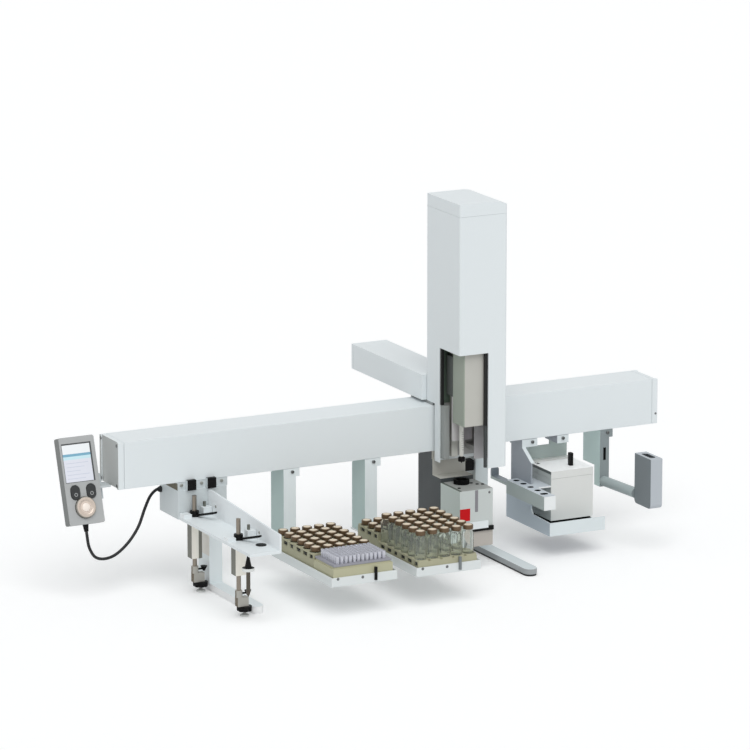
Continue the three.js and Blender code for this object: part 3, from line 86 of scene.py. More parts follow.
def rail_point(x, y, z):
    """A place in millimetres of the rail's frame, as a point in metres of the scene."""
    return RAIL + Vector((x, y, z)) * MM


# Where the rods of the rear and the front stand pass the front arm, along the rail's y.
ROD_PLACES = (-14, -212)
# The terminal leans back by this angle about the X axis, round its top front left corner.
TERMINAL_LEAN = math.radians(-17.7)
TERMINAL_CORNER = (-99.3, 60.0, 101.0)


def face_point(x, y, z):
    """A place in millimetres of the terminal's own frame: X across, Y into it, Z up its face."""
    turned = Matrix.Rotation(TERMINAL_LEAN, 3, "X") @ Vector((x, y, z))
    return rail_point(*(turned + Vector(TERMINAL_CORNER)))


def face_place(place):
    """The reverse of face_point: from a place in the rail's frame to one in the terminal's own."""
    return Matrix.Rotation(-TERMINAL_LEAN, 3, "X") @ (Vector(place) - Vector(TERMINAL_CORNER))


# --- Finishes -------------------------------------------------------------------------------


def linear(colour):
    """A colour written as 0 to 255 values, as the linear values that Blender uses."""
    return tuple((c / 255 / 12.92) if c / 255 <= 0.04045 else ((c / 255 + 0.055) / 1.055) ** 2.4
                 for c in colour)


def link_mottle(material, colour, spread, size, stretch):
    """Gives the base colour slow, slight changes of tone, and hands back the noise they come from."""
    nodes, links = material.node_tree.nodes, material.node_tree.links
    shader = nodes["Principled BSDF"]
    place = nodes.new("ShaderNodeTexCoord")
    fit = nodes.new("ShaderNodeMapping")
    fit.inputs["Scale"].default_value = stretch
    noise = nodes.new("ShaderNodeTexNoise")
    noise.inputs["Scale"].default_value = 1 / (size * MM)
    noise.inputs["Detail"].default_value = 5
    noise.inputs["Roughness"].default_value = 0.6
    mix = nodes.new("ShaderNodeMix")
    mix.data_type = "RGBA"
    base = linear(colour)
    mix.inputs[6].default_value = (*[c * (1 - spread) for c in base], 1)
    mix.inputs[7].default_value = (*[min(1, c * (1 + spread)) for c in base], 1)
    links.new(place.outputs["Object"], fit.inputs["Vector"])
    links.new(fit.outputs["Vector"], noise.inputs["Vector"])
    links.new(noise.outputs["Fac"], mix.inputs[0])
    links.new(mix.outputs[2], shader.inputs["Base Color"])
    return fit, noise


def link_grain(material, fit, height, size):
    """Gives the surface a fine grain: orange peel on paint, texture on moulded plastic."""
    nodes, links = material.node_tree.nodes, material.node_tree.links
    grain = nodes.new("ShaderNodeTexNoise")
    grain.inputs["Scale"].default_value = 1 / (size * MM)
    grain.inputs["Detail"].default_value = 3
    bump = nodes.new("ShaderNodeBump")
    bump.inputs["Strength"].default_value = 1.0
    bump.inputs["Distance"].default_value = height * MM
    links.new(fit.outputs["Vector"], grain.inputs["Vector"])
    links.new(grain.outputs["Fac"], bump.inputs["Height"])
    links.new(bump.outputs["Normal"], nodes["Principled BSDF"].inputs["Normal"])


def link_gloss(material, noise, low, high):
    """Lets the roughness wander between two values."""
    nodes, links = material.node_tree.nodes, material.node_tree.links
    spread = nodes.new("ShaderNodeMapRange")
    spread.inputs["From Min"].default_value = 0.3
    spread.inputs["From Max"].default_value = 0.7
    spread.inputs["To Min"].default_value = low
    spread.inputs["To Max"].default_value = high
    links.new(noise.outputs["Fac"], spread.inputs["Value"])
    links.new(spread.outputs["Result"], nodes["Principled BSDF"].inputs["Roughness"])


def surface(name, colour, roughness, metallic=0.0, spread=0.02, size=90, stretch=(1, 1, 1), grain=0.0,
            grain_size=0.8, coat=0.0, transmission=0.0, ior=1.45, specular=0.5):
    """A material whose colour, gloss and grain vary a little, as on a real part."""
    found = bpy.data.materials.get(name)
    if found:
        return found
    material = bpy.data.materials.new(name)
    material.use_nodes = True
    shader = material.node_tree.nodes["Principled BSDF"]
    shader.inputs["Metallic"].default_value = metallic
    shader.inputs["IOR"].default_value = ior
    shader.inputs["Specular IOR Level"].default_value = specular
    shader.inputs["Coat Weight"].default_value = coat
    shader.inputs["Coat Roughness"].default_value = 0.15
    shader.inputs["Transmission Weight"].default_value = transmission
    fit, noise = link_mottle(material, colour, spread, size, stretch)
    link_gloss(material, noise, max(0.02, roughness - 0.06), roughness + 0.06)
    if grain:
        link_grain(material, fit, grain, grain_size)
    return material


def powder_coat(name, colour, roughness=0.46):
    """Paint with a faint orange peel."""
    return surface(name, colour, roughness, spread=0.015, size=140, grain=0.02, grain_size=1.1)


def moulded(name, colour, roughness=0.5):
    """Plastic or rubber with a fine moulded grain."""
    return surface(name, colour, roughness, spread=0.04, size=25, grain=0.03, grain_size=0.5)


def ground_steel(name, colour, along="Z", roughness=0.32):
    """Bare steel, ground along one axis."""
    stretch = {"X": (0.04, 1, 1), "Y": (1, 0.04, 1), "Z": (1, 1, 0.04)}[along]
    return surface(name, colour, roughness, metallic=1.0, spread=0.12, size=1.2, stretch=stretch,
                   grain=0.01, grain_size=0.4)


def paint_with_shade_above(name, low_colour, high_colour, level):
    """Paint that changes from one colour to another at a height, in millimetres of the rail's frame; the
    colour above is a painted shade.
    """
    material = surface(name, low_colour, 0.5, spread=0.03, size=60, grain=0.02)
    nodes, links = material.node_tree.nodes, material.node_tree.links
    shader = nodes["Principled BSDF"]
    below = shader.inputs["Base Color"].links[0].from_socket
    place = nodes.new("ShaderNodeTexCoord")
    split = nodes.new("ShaderNodeSeparateXYZ")
    step = nodes.new("ShaderNodeMath")
    step.operation = "GREATER_THAN"
    step.inputs[1].default_value = rail_point(0, 0, level).z
    mix = nodes.new("ShaderNodeMix")
    mix.data_type = "RGBA"
    mix.inputs[7].default_value = (*linear(high_colour), 1)
    links.new(place.outputs["Object"], split.inputs["Vector"])
    links.new(split.outputs["Z"], step.inputs[0])
    links.new(step.outputs["Value"], mix.inputs[0])
    links.new(below, mix.inputs[6])
    links.new(mix.outputs[2], shader.inputs["Base Color"])
    return material


# --- Solids ---------------------------------------------------------------------------------


def add_box(bm, low, high, finish=0):
    """A closed box between two corners, in metres."""
    low, high = Vector(low), Vector(high)
    made = bmesh.ops.create_cube(bm, size=1.0)
    size = high - low
    bmesh.ops.scale(bm, vec=size, verts=made["verts"])
    bmesh.ops.translate(bm, vec=(low + high) / 2, verts=made["verts"])
    for face in {f for v in made["verts"] for f in v.link_faces}:
        face.material_index = finish


def rail_box(bm, x0, x1, y0, y1, z0, z1, finish=0):
    """A closed box in millimetres of the rail's frame."""
    add_box(bm, rail_point(x0, y0, z0), rail_point(x1, y1, z1), finish)


def ring_angles(sides):
    """The angles of the points on a ring."""
    return [2 * math.pi * k / sides for k in range(sides)]


def join_rings(bm, rings, finish=0):
    """Joins rings of points into a closed solid. A ring of one point is a tip."""
    faces = []
    for low, high in zip(rings, rings[1:]):
        sides = max(len(low), len(high))
        for i in range(sides):
            j = (i + 1) % sides
            if len(low) == 1:
                faces.append(bm.faces.new((low[0], high[i], high[j])))
            elif len(high) == 1:
                faces.append(bm.faces.new((low[j], low[i], high[0])))
            else:
                faces.append(bm.faces.new((low[i], low[j], high[j], high[i])))
    faces += [bm.faces.new(ring) for ring in (rings[0], rings[-1]) if len(ring) > 1]
    for face in faces:
        face.material_index = finish


def add_turned(bm, foot, axis, profile, sides=24, finish=0):
    """A closed turned solid: profile holds (distance along the axis, radius) in millimetres."""
    axis = Vector(axis).normalized()
    side = axis.orthogonal().normalized()
    other = axis.cross(side)
    rings = []
    for along, radius in profile:
        centre = Vector(foot) + axis * along * MM
        if radius > 0:
            rings.append([bm.verts.new(centre + (side * math.cos(a) + other * math.sin(a)) * radius * MM)
                          for a in ring_angles(sides)])
        else:
            rings.append([bm.verts.new(centre)])
    join_rings(bm, rings, finish)


def add_tube(bm, foot, outer, bore, sides=28, finish=0):
    """An upright tube: outer holds (height, radius) and the bore is plain, all in millimetres."""
    def ring(along, radius):
        return [bm.verts.new(Vector(foot) + Vector((radius * math.cos(a), radius * math.sin(a), along)) * MM)
                for a in ring_angles(sides)]

    rings = [ring(a, r) for a, r in outer]
    rings += [ring(outer[-1][0], bore), ring(outer[0][0], bore)]
    for low, high in zip(rings, rings[1:] + rings[:1]):
        for k in range(sides):
            n = (k + 1) % sides
            bm.faces.new((low[k], low[n], high[n], high[k])).material_index = finish


def add_prism(bm, corners, sweep, finish=0):
    """A closed prism: a flat outline of points in metres, swept along a vector."""
    near = [bm.verts.new(Vector(c)) for c in corners]
    far = [bm.verts.new(Vector(c) + Vector(sweep)) for c in corners]
    join_rings(bm, [near, far], finish)


def smooth_faces(mesh):
    """Smooth shading, with the edges between steep faces kept sharp."""
    mesh.shade_smooth()
    mesh.set_sharp_from_angle(angle=SMOOTH_ANGLE)


def weigh_normals(mesh):
    """Weighs corner normals by face area, so that wide flat faces look flat beside rounded edges."""
    limit = math.cos(SMOOTH_ANGLE)
    faces = [(face.normal.copy(), face.area) for face in mesh.polygons]
    around = [[] for _ in mesh.vertices]
    for face in mesh.polygons:
        for corner in face.vertices:
            around[corner].append(face.index)
    normals = []
    for face in mesh.polygons:
        own = faces[face.index][0]
        for corner in face.vertices:
            total = Vector((0, 0, 0))
            for normal, area in (faces[other] for other in around[corner]):
                if own.dot(normal) > limit:
                    total += normal * area
            normals.append(total.normalized() if total.length else own)
    mesh.normals_split_custom_set(normals)


def soften(obj, width, segments=2):
    """Rounds the sharp edges of a piece, and keeps the result as its plain mesh."""
    bevel = obj.modifiers.new("edge", "BEVEL")
    bevel.width = width * MM
    bevel.segments = segments
    bevel.limit_method = "ANGLE"
    bevel.angle_limit = EDGE_ANGLE
    bevel.use_clamp_overlap = True
    bevel.miter_outer = "MITER_ARC"
    plain = evaluated_mesh(obj)
    obj.modifiers.clear()
    old = obj.data
    obj.data = plain
    bpy.data.meshes.remove(old)


def evaluated_mesh(obj):
    """The mesh of an object with its modifiers worked out."""
    bpy.context.view_layer.update()
    graph = bpy.context.evaluated_depsgraph_get()
    return bpy.data.meshes.new_from_object(obj.evaluated_get(graph))


def mesh_from(bm, name):
    """Collected solids as a mesh."""
    mesh = bpy.data.meshes.new(name)
    bm.to_mesh(mesh)
    bm.free()
    return mesh


def new_object(name, data):
    """An object of the scene that shows a mesh, a camera or a light."""
    obj = bpy.data.objects.new(name, data)
    bpy.context.scene.collection.objects.link(obj)
    return obj


def make_piece(name, bm, finishes, body, edge=0.0, segments=2, stands_for=(), recalc=True):
    """Turns collected solids into one piece that rides on a body. Edge is a radius in millimetres."""
    if recalc:
        bmesh.ops.recalc_face_normals(bm, faces=bm.faces)
    mesh = mesh_from(bm, name)
    for finish in finishes:
        mesh.materials.append(finish)
    obj = new_object(name, mesh)
    if edge:
        soften(obj, edge, segments)
    smooth_faces(obj.data)
    if edge:
        weigh_normals(obj.data)
    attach(obj, body)
    if stands_for:
        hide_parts(*stands_for)
    return obj


def piece_of_boxes(name, boxes, finishes, body, edge=0.0):
    """One piece of plain boxes, each with the numbers that rail_box takes."""
    bm = bmesh.new()
    for box in boxes:
        rail_box(bm, *box)
    return make_piece(name, bm, finishes, body, edge)


def dressed_copy(node, name, finishes, edge=0.6, segments=2, choose=None, cuts=()):
    """A copy of a CAD node with its flat faces joined, its edges rounded and its finishes set.

    choose takes a face's centre, in millimetres of the rail's frame, and its normal, and gives the
    number of its finish. Each cut is (axis, place): it parts the faces at that place, so that they
    can differ in finish.
    """
    bm = bmesh.new()
    bm.from_mesh(NODES[node].data)
    bmesh.ops.remove_doubles(bm, verts=bm.verts, dist=1e-6)
    bmesh.ops.dissolve_limit(bm, angle_limit=FLAT_ANGLE, verts=bm.verts, edges=bm.edges)
    for axis, place in cuts:
        point, normal = Vector((0, 0, 0)), Vector((0, 0, 0))
        point["XYZ".index(axis)], normal["XYZ".index(axis)] = place, 1
        bmesh.ops.bisect_plane(bm, geom=bm.verts[:] + bm.edges[:] + bm.faces[:], dist=1e-7,
                               plane_co=rail_point(*point), plane_no=normal)
    bm.normal_update()
    for face in bm.faces:
        face.material_index = 0
        if choose:
            centre = (face.calc_center_median() - RAIL) / MM
            face.material_index = choose(centre, face.normal)
    return make_piece(name, bm, finishes, BODY_OF[node], edge, segments, (node,), recalc=False)


def dress_node(node, finish):
    """Gives a CAD node, whose shape is right, its finish."""
    materials = NODES[node].data.materials
    materials.clear()
    materials.append(finish)


# --- Patterns made with Geometry Nodes -------------------------------------------------------


def repeat_tree():
    """A tree that sets a pattern in rows and columns: the steps between them are vectors."""
    name = "set in rows"
    found = bpy.data.node_groups.get(name)
    if found:
        return found
    tree = bpy.data.node_groups.new(name, "GeometryNodeTree")
    for label, kind in (("Geometry", "NodeSocketGeometry"), ("Pattern", "NodeSocketObject"),
                        ("Columns", "NodeSocketInt"), ("Rows", "NodeSocketInt"),
                        ("First Place", "NodeSocketVector"), ("Column Step", "NodeSocketVector"),
                        ("Row Step", "NodeSocketVector"), ("Finish", "NodeSocketMaterial")):
        tree.interface.new_socket(name=label, in_out="INPUT", socket_type=kind)
    tree.interface.new_socket(name="Geometry", in_out="OUTPUT", socket_type="NodeSocketGeometry")
    nodes, links = tree.nodes, tree.links
    given = nodes.new("NodeGroupInput")
    result = nodes.new("NodeGroupOutput")
    index = nodes.new("GeometryNodeInputIndex")

    def maths(operation, a, b=None):
        node = nodes.new("ShaderNodeMath")
        node.operation = operation
        links.new(a, node.inputs[0])
        if b is not None:
            links.new(b, node.inputs[1])
        return node.outputs[0]

    def scaled(vector, amount):
        node = nodes.new("ShaderNodeVectorMath")
        node.operation = "SCALE"
        links.new(vector, node.inputs[0])
        links.new(amount, node.inputs["Scale"])
        return node.outputs[0]

    def added(a, b):
        node = nodes.new("ShaderNodeVectorMath")
        node.operation = "ADD"
        links.new(a, node.inputs[0])
        links.new(b, node.inputs[1])
        return node.outputs[0]

    column = maths("MODULO", index.outputs[0], given.outputs["Columns"])
    row = maths("FLOOR", maths("DIVIDE", index.outputs[0], given.outputs["Columns"]))
    count = maths("MULTIPLY", given.outputs["Columns"], given.outputs["Rows"])
    place = added(added(given.outputs["First Place"], scaled(given.outputs["Column Step"], column)),
                  scaled(given.outputs["Row Step"], row))
    points = nodes.new("GeometryNodePoints")
    links.new(count, points.inputs["Count"])
    links.new(place, points.inputs["Position"])
    pattern = nodes.new("GeometryNodeObjectInfo")
    links.new(given.outputs["Pattern"], pattern.inputs["Object"])
    spread = nodes.new("GeometryNodeInstanceOnPoints")
    links.new(points.outputs[0], spread.inputs["Points"])
    links.new(pattern.outputs["Geometry"], spread.inputs["Instance"])
    real = nodes.new("GeometryNodeRealizeInstances")
    links.new(spread.outputs[0], real.inputs[0])
    coat = nodes.new("GeometryNodeSetMaterial")
    links.new(real.outputs[0], coat.inputs["Geometry"])
    links.new(given.outputs["Finish"], coat.inputs["Material"])
    links.new(coat.outputs[0], result.inputs[0])
    return tree


def set_in_rows(name, pattern, finish, body, first, column_step, columns, row_step=(0, 0, 0), rows=1):
    """Repeats a pattern in rows on one body. Steps are millimetres, first is a point in metres."""
    tree = repeat_tree()
    ids = {i.name: i.identifier for i in tree.interface.items_tree
           if i.item_type == "SOCKET" and i.in_out == "INPUT"}
    holder = new_object(name + "_holder", bpy.data.meshes.new(name + "_holder"))
    modifier = holder.modifiers.new("rows", "NODES")
    modifier.node_group = tree
    modifier[ids["Pattern"]] = pattern
    modifier[ids["Columns"]] = columns
    modifier[ids["Rows"]] = rows
    modifier[ids["First Place"]] = list(first)
    modifier[ids["Column Step"]] = list(Vector(column_step) * MM)
    modifier[ids["Row Step"]] = list(Vector(row_step) * MM)
    modifier[ids["Finish"]] = finish
    mesh = evaluated_mesh(holder)
    bpy.data.objects.remove(holder)
    mesh.name = name
    if not mesh.polygons:
        raise RuntimeError(name + " came out empty")
    obj = new_object(name, mesh)
    smooth_faces(mesh)
    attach(obj, body)
    return obj


def pattern_object(name, build):
    """A pattern for set_in_rows, about the origin. It is removed again after use."""
    bm = bmesh.new()
    build(bm)
    bmesh.ops.recalc_face_normals(bm, faces=bm.faces)
    return new_object(name, mesh_from(bm, name))


def screw_pattern(axis, radius, height, socket=True):
    """A socket head screw that looks along an axis, with its seat at the origin."""
    def build(bm):
        if socket:
            profile = [(-0.6, radius * 0.9), (0, radius), (height - 0.5, radius), (height, radius - 0.5),
                       (height, radius * 0.5), (height * 0.35, radius * 0.5), (height * 0.35, 0)]
        else:
            profile = [(-0.6, radius * 0.9), (0, radius), (height * 0.6, radius * 0.86),
                       (height, radius * 0.5), (height, 0)]
        add_turned(bm, (0, 0, 0), axis, profile, 14)
    return pattern_object("screw_pattern", build)


def screws(name, axis, radius, height, finish, first, step=(0, 0, 0), count=1, row_step=(0, 0, 0), rows=1,
           socket=True):
    """Rows of screws in the fixed frame: sizes and steps are millimetres, first is a point in metres."""
    pattern = screw_pattern(axis, radius, height, socket)
    set_in_rows(name, pattern, finish, "frame", first, step, count, row_step, rows)
    bpy.data.objects.remove(pattern)


def clamp_screw(name, x):
    """The screw in the front of a module's clamp under the rail."""
    screws(name, FRONT, 3.4, 3.0, screw_steel(), rail_point(x, 0, -6.5))


# --- Settings -------------------------------------------------------------------------------


def colour_setting(name, description, colour):
    """A colour that the panel shows."""
    return bpy.props.FloatVectorProperty(name=name, description=description, subtype="COLOR_GAMMA", size=3,
                                         min=0, max=1, default=[c / 255 for c in colour])


def size_setting(name, description, millimetres):
    """A size in millimetres that the panel shows."""
    return bpy.props.FloatProperty(name=name, description=description, default=millimetres * MM, min=0,
                                   unit="LENGTH", subtype="DISTANCE", precision=4)


def tone(value):
    """A colour setting as 0 to 255 values."""
    return tuple(c * 255 for c in value)


class StageSettings(bpy.types.PropertyGroup):
    """Light, floor and lens of the stage"""

    floor_colour: colour_setting("Floor", "Colour of the floor", (250, 250, 250))
    sky_level: bpy.props.FloatProperty(name="Sky", description="Level of the light from all round",
                                       default=0.55, min=0)
    key_level: bpy.props.FloatProperty(name="Key", description="Strength of the soft key light",
                                       default=1.35, min=0)
    floor_lift: bpy.props.FloatProperty(name="Floor lift", default=0.15, min=0,
                                        description="Light added to the floor for the camera")
    lens: bpy.props.FloatProperty(name="Lens", default=255.5, min=1,
                                  description="Focal length in millimetres")


class CoverSettings(bpy.types.PropertyGroup):
    """Colours of the painted covers"""

    white: colour_setting("White paint", "Colour of the covers", (229, 235, 237))
    grey: colour_setting("Grey paint", "Colour of posts, legs and brackets", (205, 212, 214))
    dark: colour_setting("Dark paint", "Colour of the dark frames", (66, 71, 73))
    edge: size_setting("Edge", "Radius of the covers' edges", 1.2)


class TraySettings(bpy.types.PropertyGroup):
    """Colours and sizes of the trays and what stands on them"""

    rack: colour_setting("Rack", "Colour of the racks", (172, 170, 143))
    cap_side: colour_setting("Cap side", "Colour of the vials' cap skirts", (104, 84, 62))
    cap_top: colour_setting("Cap top", "Colour of the vials' septa", (226, 212, 190))
    plate: colour_setting("Plate", "Colour of the well plate", (224, 225, 233))
    well_radius: size_setting("Well", "Outer radius of one well", 3.9)


class ModuleSettings(bpy.types.PropertyGroup):
    """Colours of the modules on the rail"""

    holder: colour_setting("Holder", "Colour of the oven's holder", (160, 166, 174))
    oven_front: colour_setting("Oven front", "Colour of the oven's front", (226, 227, 224))
    oven_side: colour_setting("Oven side", "Colour of the oven's sides", (190, 195, 192))
    red: colour_setting("Red plate", "Colour of the red plate on the wash station", (200, 10, 20))


class TerminalSettings(bpy.types.PropertyGroup):
    """Colours of the hand terminal"""

    shell: colour_setting("Shell", "Colour of the terminal's shell", (176, 178, 178))
    screen: colour_setting("Screen", "Colour of the screen", (228, 230, 240))
    band: colour_setting("Band", "Colour of the band across the screen", (122, 175, 200))
    cord_diameter: size_setting("Cord", "Diameter of the terminal's cord", 6.0)


def white_paint():
    return powder_coat("white powder coat", tone(bpy.context.scene.sampler_covers.white))


def grey_paint():
    return powder_coat("grey powder coat", tone(bpy.context.scene.sampler_covers.grey))


def dark_paint():
    return powder_coat("dark powder coat", tone(bpy.context.scene.sampler_covers.dark), 0.5)


def black_moulding():
    return surface("black moulding", (8, 8, 9), 0.5, spread=0.05, size=25, grain=0.03, grain_size=0.5,
                   specular=0.2)


# Near black for gaps and hollows: painted shade.
def black_gap_painted_shade():
    return surface("black gap painted shade", (8, 8, 9), 0.8, spread=0.1, specular=0.1)


def screw_steel():
    return ground_steel("screw steel", (118, 120, 120), "Z", 0.38)


def guide_steel():
    return ground_steel("guide steel", (178, 180, 178), "X")


def pale_screw():
    return surface("pale screw steel", (158, 160, 154), 0.35, metallic=0.4, spread=0.06, size=3)


def left_side_painted_shade(centre, normal):
    """The second finish, a painted shade, on the faces that look left; the first on all others."""
    return 1 if normal.x < -0.5 else 0


# --- Operators ------------------------------------------------------------------------------


class SAMPLER_OT_stage(bpy.types.Operator):
    """Makes the camera, the floor and the soft studio light"""

    bl_idname = "sampler.stage"
    bl_label = "Stage and camera"

    def execute(self, context):
        given = context.scene.sampler_stage
        scene = context.scene
        scene.view_settings.view_transform = "Standard"

        view = bpy.data.cameras.new("photo_view")
        view.sensor_width = 36
        view.lens = given.lens
        view.clip_start, view.clip_end = 0.1, 100
        camera = new_object("photo_view", view)
        camera.location = rail_point(*CAMERA_PLACE)
        camera.rotation_euler = (CAMERA_TILT, 0, CAMERA_TURN)
        scene.camera = camera

        floor = new_object("floor", self.floor_mesh())
        floor.data.materials.append(self.floor_paint(given))

        sun = bpy.data.lights.new("soft_key", "SUN")
        sun.energy = given.key_level
        sun.angle = math.radians(50)
        key = new_object("soft_key", sun)
        key.rotation_euler = Vector(KEY_DIRECTION).to_track_quat("Z", "Y").to_euler()
        self.sky(scene, given)
        return {"FINISHED"}

    def floor_mesh(self):
        """A wide square of floor at the height of the soles."""
        mesh = bpy.data.meshes.new("floor")
        corners = ((-1, -1), (1, -1), (1, 1), (-1, 1))
        mesh.from_pydata([(x * FLOOR_REACH, y * FLOOR_REACH, 0) for x, y in corners], [], [(0, 1, 2, 3)])
        return mesh

    def floor_paint(self, given):
        """A matt pale floor that the camera sees as almost white, with the shadows kept."""
        material = bpy.data.materials.new("pale floor")
        material.use_nodes = True
        nodes, links = material.node_tree.nodes, material.node_tree.links
        shader = nodes["Principled BSDF"]
        shader.inputs["Base Color"].default_value = (*linear(tone(given.floor_colour)), 1)
        shader.inputs["Roughness"].default_value = 0.9
        shader.inputs["Specular IOR Level"].default_value = 0.1
        path = nodes.new("ShaderNodeLightPath")
        lift = nodes.new("ShaderNodeMath")
        lift.operation = "MULTIPLY"
        lift.inputs[1].default_value = given.floor_lift
        glow = nodes.new("ShaderNodeEmission")
        both = nodes.new("ShaderNodeAddShader")
        links.new(path.outputs["Is Camera Ray"], lift.inputs[0])
        links.new(lift.outputs[0], glow.inputs["Strength"])
        links.new(shader.outputs[0], both.inputs[0])
        links.new(glow.outputs[0], both.inputs[1])
        links.new(both.outputs[0], nodes["Material Output"].inputs["Surface"])
        return material

    def sky(self, scene, given):
        """A plain light from all round, which the camera, metal and glass see as white."""
        world = bpy.data.worlds.new("studio")
        world.use_nodes = True
        nodes, links = world.node_tree.nodes, world.node_tree.links
        nodes.clear()
        seen = nodes.new("ShaderNodeBackground")
        seen.inputs["Color"].default_value = (1, 1, 1, 1)
        seen.inputs["Strength"].default_value = 1.0
        lit = nodes.new("ShaderNodeBackground")
        lit.inputs["Color"].default_value = (0.97, 0.99, 1, 1)
        lit.inputs["Strength"].default_value = given.sky_level
        path = nodes.new("ShaderNodeLightPath")
        first = nodes.new("ShaderNodeMath")
        first.operation = "MAXIMUM"
        second = nodes.new("ShaderNodeMath")
        second.operation = "MAXIMUM"
        mix = nodes.new("ShaderNodeMixShader")
        out = nodes.new("ShaderNodeOutputWorld")
        links.new(path.outputs["Is Camera Ray"], first.inputs[0])
        links.new(path.outputs["Is Glossy Ray"], first.inputs[1])
        links.new(first.outputs[0], second.inputs[0])
        links.new(path.outputs["Is Transmission Ray"], second.inputs[1])
        links.new(second.outputs[0], mix.inputs[0])
        links.new(lit.outputs[0], mix.inputs[1])
        links.new(seen.outputs[0], mix.inputs[2])
        links.new(mix.outputs[0], out.inputs["Surface"])
        scene.world = world


class SAMPLER_OT_cord(bpy.types.Operator):
    """Makes the terminal's cord, from its strain relief down and up into the left bracket"""

    bl_idname = "sampler.cord"
    bl_label = "Terminal cord"

    # Places along its middle, in the rail's frame, from the terminal to the bracket.
    route = ((-62.15, 14.14, -78.87), (-62.15, 11.40, -87.44), (-59, 12, -106), (-52, 15, -121),
             (-42, 20, -133), (-28, 26, -140), (-12, 32, -142.5), (5, 38, -141), (23, 44, -134),
             (47, 52, -118), (68, 58, -94), (86, 66, -61), (101, 72, -39), (115.7, 75, -29.2),
             (124.7, 75, -29.2))

    def smooth_route(self, steps=7):
        """A centripetal Catmull-Rom line through the route's points."""
        points = [Vector(p) for p in self.route]
        points = [points[0] * 2 - points[1]] + points + [points[-1] * 2 - points[-2]]
        line = []
        for i in range(1, len(points) - 2):
            a, b, c, d = points[i - 1:i + 3]
            ta = 0.0
            tb = ta + (b - a).length ** 0.5
            tc = tb + (c - b).length ** 0.5
            td = tc + (d - c).length ** 0.5
            for step in range(steps):
                t = tb + (tc - tb) * step / steps
                ab = a * ((tb - t) / (tb - ta)) + b * ((t - ta) / (tb - ta))
                bc = b * ((tc - t) / (tc - tb)) + c * ((t - tb) / (tc - tb))
                cd = c * ((td - t) / (td - tc)) + d * ((t - tc) / (td - tc))
                abc = ab * ((tc - t) / (tc - ta)) + bc * ((t - ta) / (tc - ta))
                bcd = bc * ((td - t) / (td - tb)) + cd * ((t - tb) / (td - tb))
                line.append(abc * ((tc - t) / (tc - tb)) + bcd * ((t - tb) / (tc - tb)))
        line.append(points[-2])
        return [rail_point(*p) for p in line]

    def execute(self, context):
        given = context.scene.sampler_terminal
        line = self.smooth_route()
        bm = bmesh.new()
        sides, radius = 16, given.cord_diameter / 2
        rings = []
        side = Vector((0, 1, 0))
        for i, point in enumerate(line):
            ahead = (line[min(i + 1, len(line) - 1)] - line[max(i - 1, 0)]).normalized()
            side = (side - ahead * side.dot(ahead)).normalized()
            up = ahead.cross(side)
            rings.append([bm.verts.new(point + (side * math.cos(a) + up * math.sin(a)) * radius)
                          for a in ring_angles(sides)])
        join_rings(bm, rings)
        jacket = surface("cord jacket", (24, 25, 27), 0.5, spread=0.05, size=10, grain=0.02, grain_size=0.6)
        cord = make_piece("terminal_cord_jacket", bm, [jacket], "frame", 0, 2,
                          ("terminal_cord",))
        return {"FINISHED"}


class SAMPLER_OT_rail(bpy.types.Operator):
    """Dresses the rail: its long cover, end caps, belt drive and carriage"""

    bl_idname = "sampler.rail"
    bl_label = "Rail"

    def execute(self, context):
        edge = context.scene.sampler_covers.edge / MM
        white, steel = white_paint(), guide_steel()
        dressed_copy("rail_cover", "rail_cover_painted", [white], edge)
        # The left end cap's faces that look left are a darker grey: painted shade for the shadow that the
        # hand terminal casts on them.
        shade = powder_coat("end cap shade", (184, 187, 185))
        dressed_copy("rail_end_cap_left", "rail_end_cap_left_painted", [white, shade], edge, 2,
                     left_side_painted_shade)
        dressed_copy("rail_end_cap_right", "rail_end_cap_right_painted", [white], edge)
        dress_node("rail_guide", steel)
        dress_node("rail_motor", dark_paint())
        dress_node("rail_drive_pulley", steel)
        dress_node("rail_idler_pulley", steel)
        dress_node("rail_belt", surface("belt rubber", (24, 24, 25), 0.7, spread=0.08, size=8, grain=0.05))
        dressed_copy("rail_carriage", "rail_carriage_ground",
                     [ground_steel("carriage steel", (160, 162, 162), "X")], 0.5)
        for side, axis, x in (("left", LEFT, 0), ("right", RIGHT, 1200)):
            screws("end_cap_" + side + "_screws", axis, 3.6, 1.2, screw_steel(), rail_point(x, 6.8, 6.5),
                   (0, 74.5, 0), 2, (0, 0, 80), 2, socket=False)
        screws("end_cap_front_screw", FRONT, 2.4, 0.8, screw_steel(), rail_point(1195.5, 0, 20.9),
               socket=False)
        return {"FINISHED"}


class SAMPLER_OT_arm(bpy.types.Operator):
    """Dresses the cross arm behind the tower"""

    bl_idname = "sampler.arm"
    bl_label = "Cross arm"

    def execute(self, context):
        edge = context.scene.sampler_covers.edge / MM
        white = white_paint()
        dressed_copy("arm_cover", "arm_cover_painted", [white], edge)
        dressed_copy("arm_end_cap", "arm_end_cap_painted", [white], edge)
        dress_node("arm_guide", guide_steel())
        low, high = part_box("arm_cover")
        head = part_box("tower_cover")[0].x
        bm = bmesh.new()
        add_box(bm, (low.x + 0.4 * MM, low.y + 0.3 * MM, low.z + 0.4 * MM),
                (head + 2 * MM, low.y + 2.8 * MM, high.z - 0.4 * MM))
        make_piece("arm_front_lip", bm, [white], "arm", 0.4)
        return {"FINISHED"}


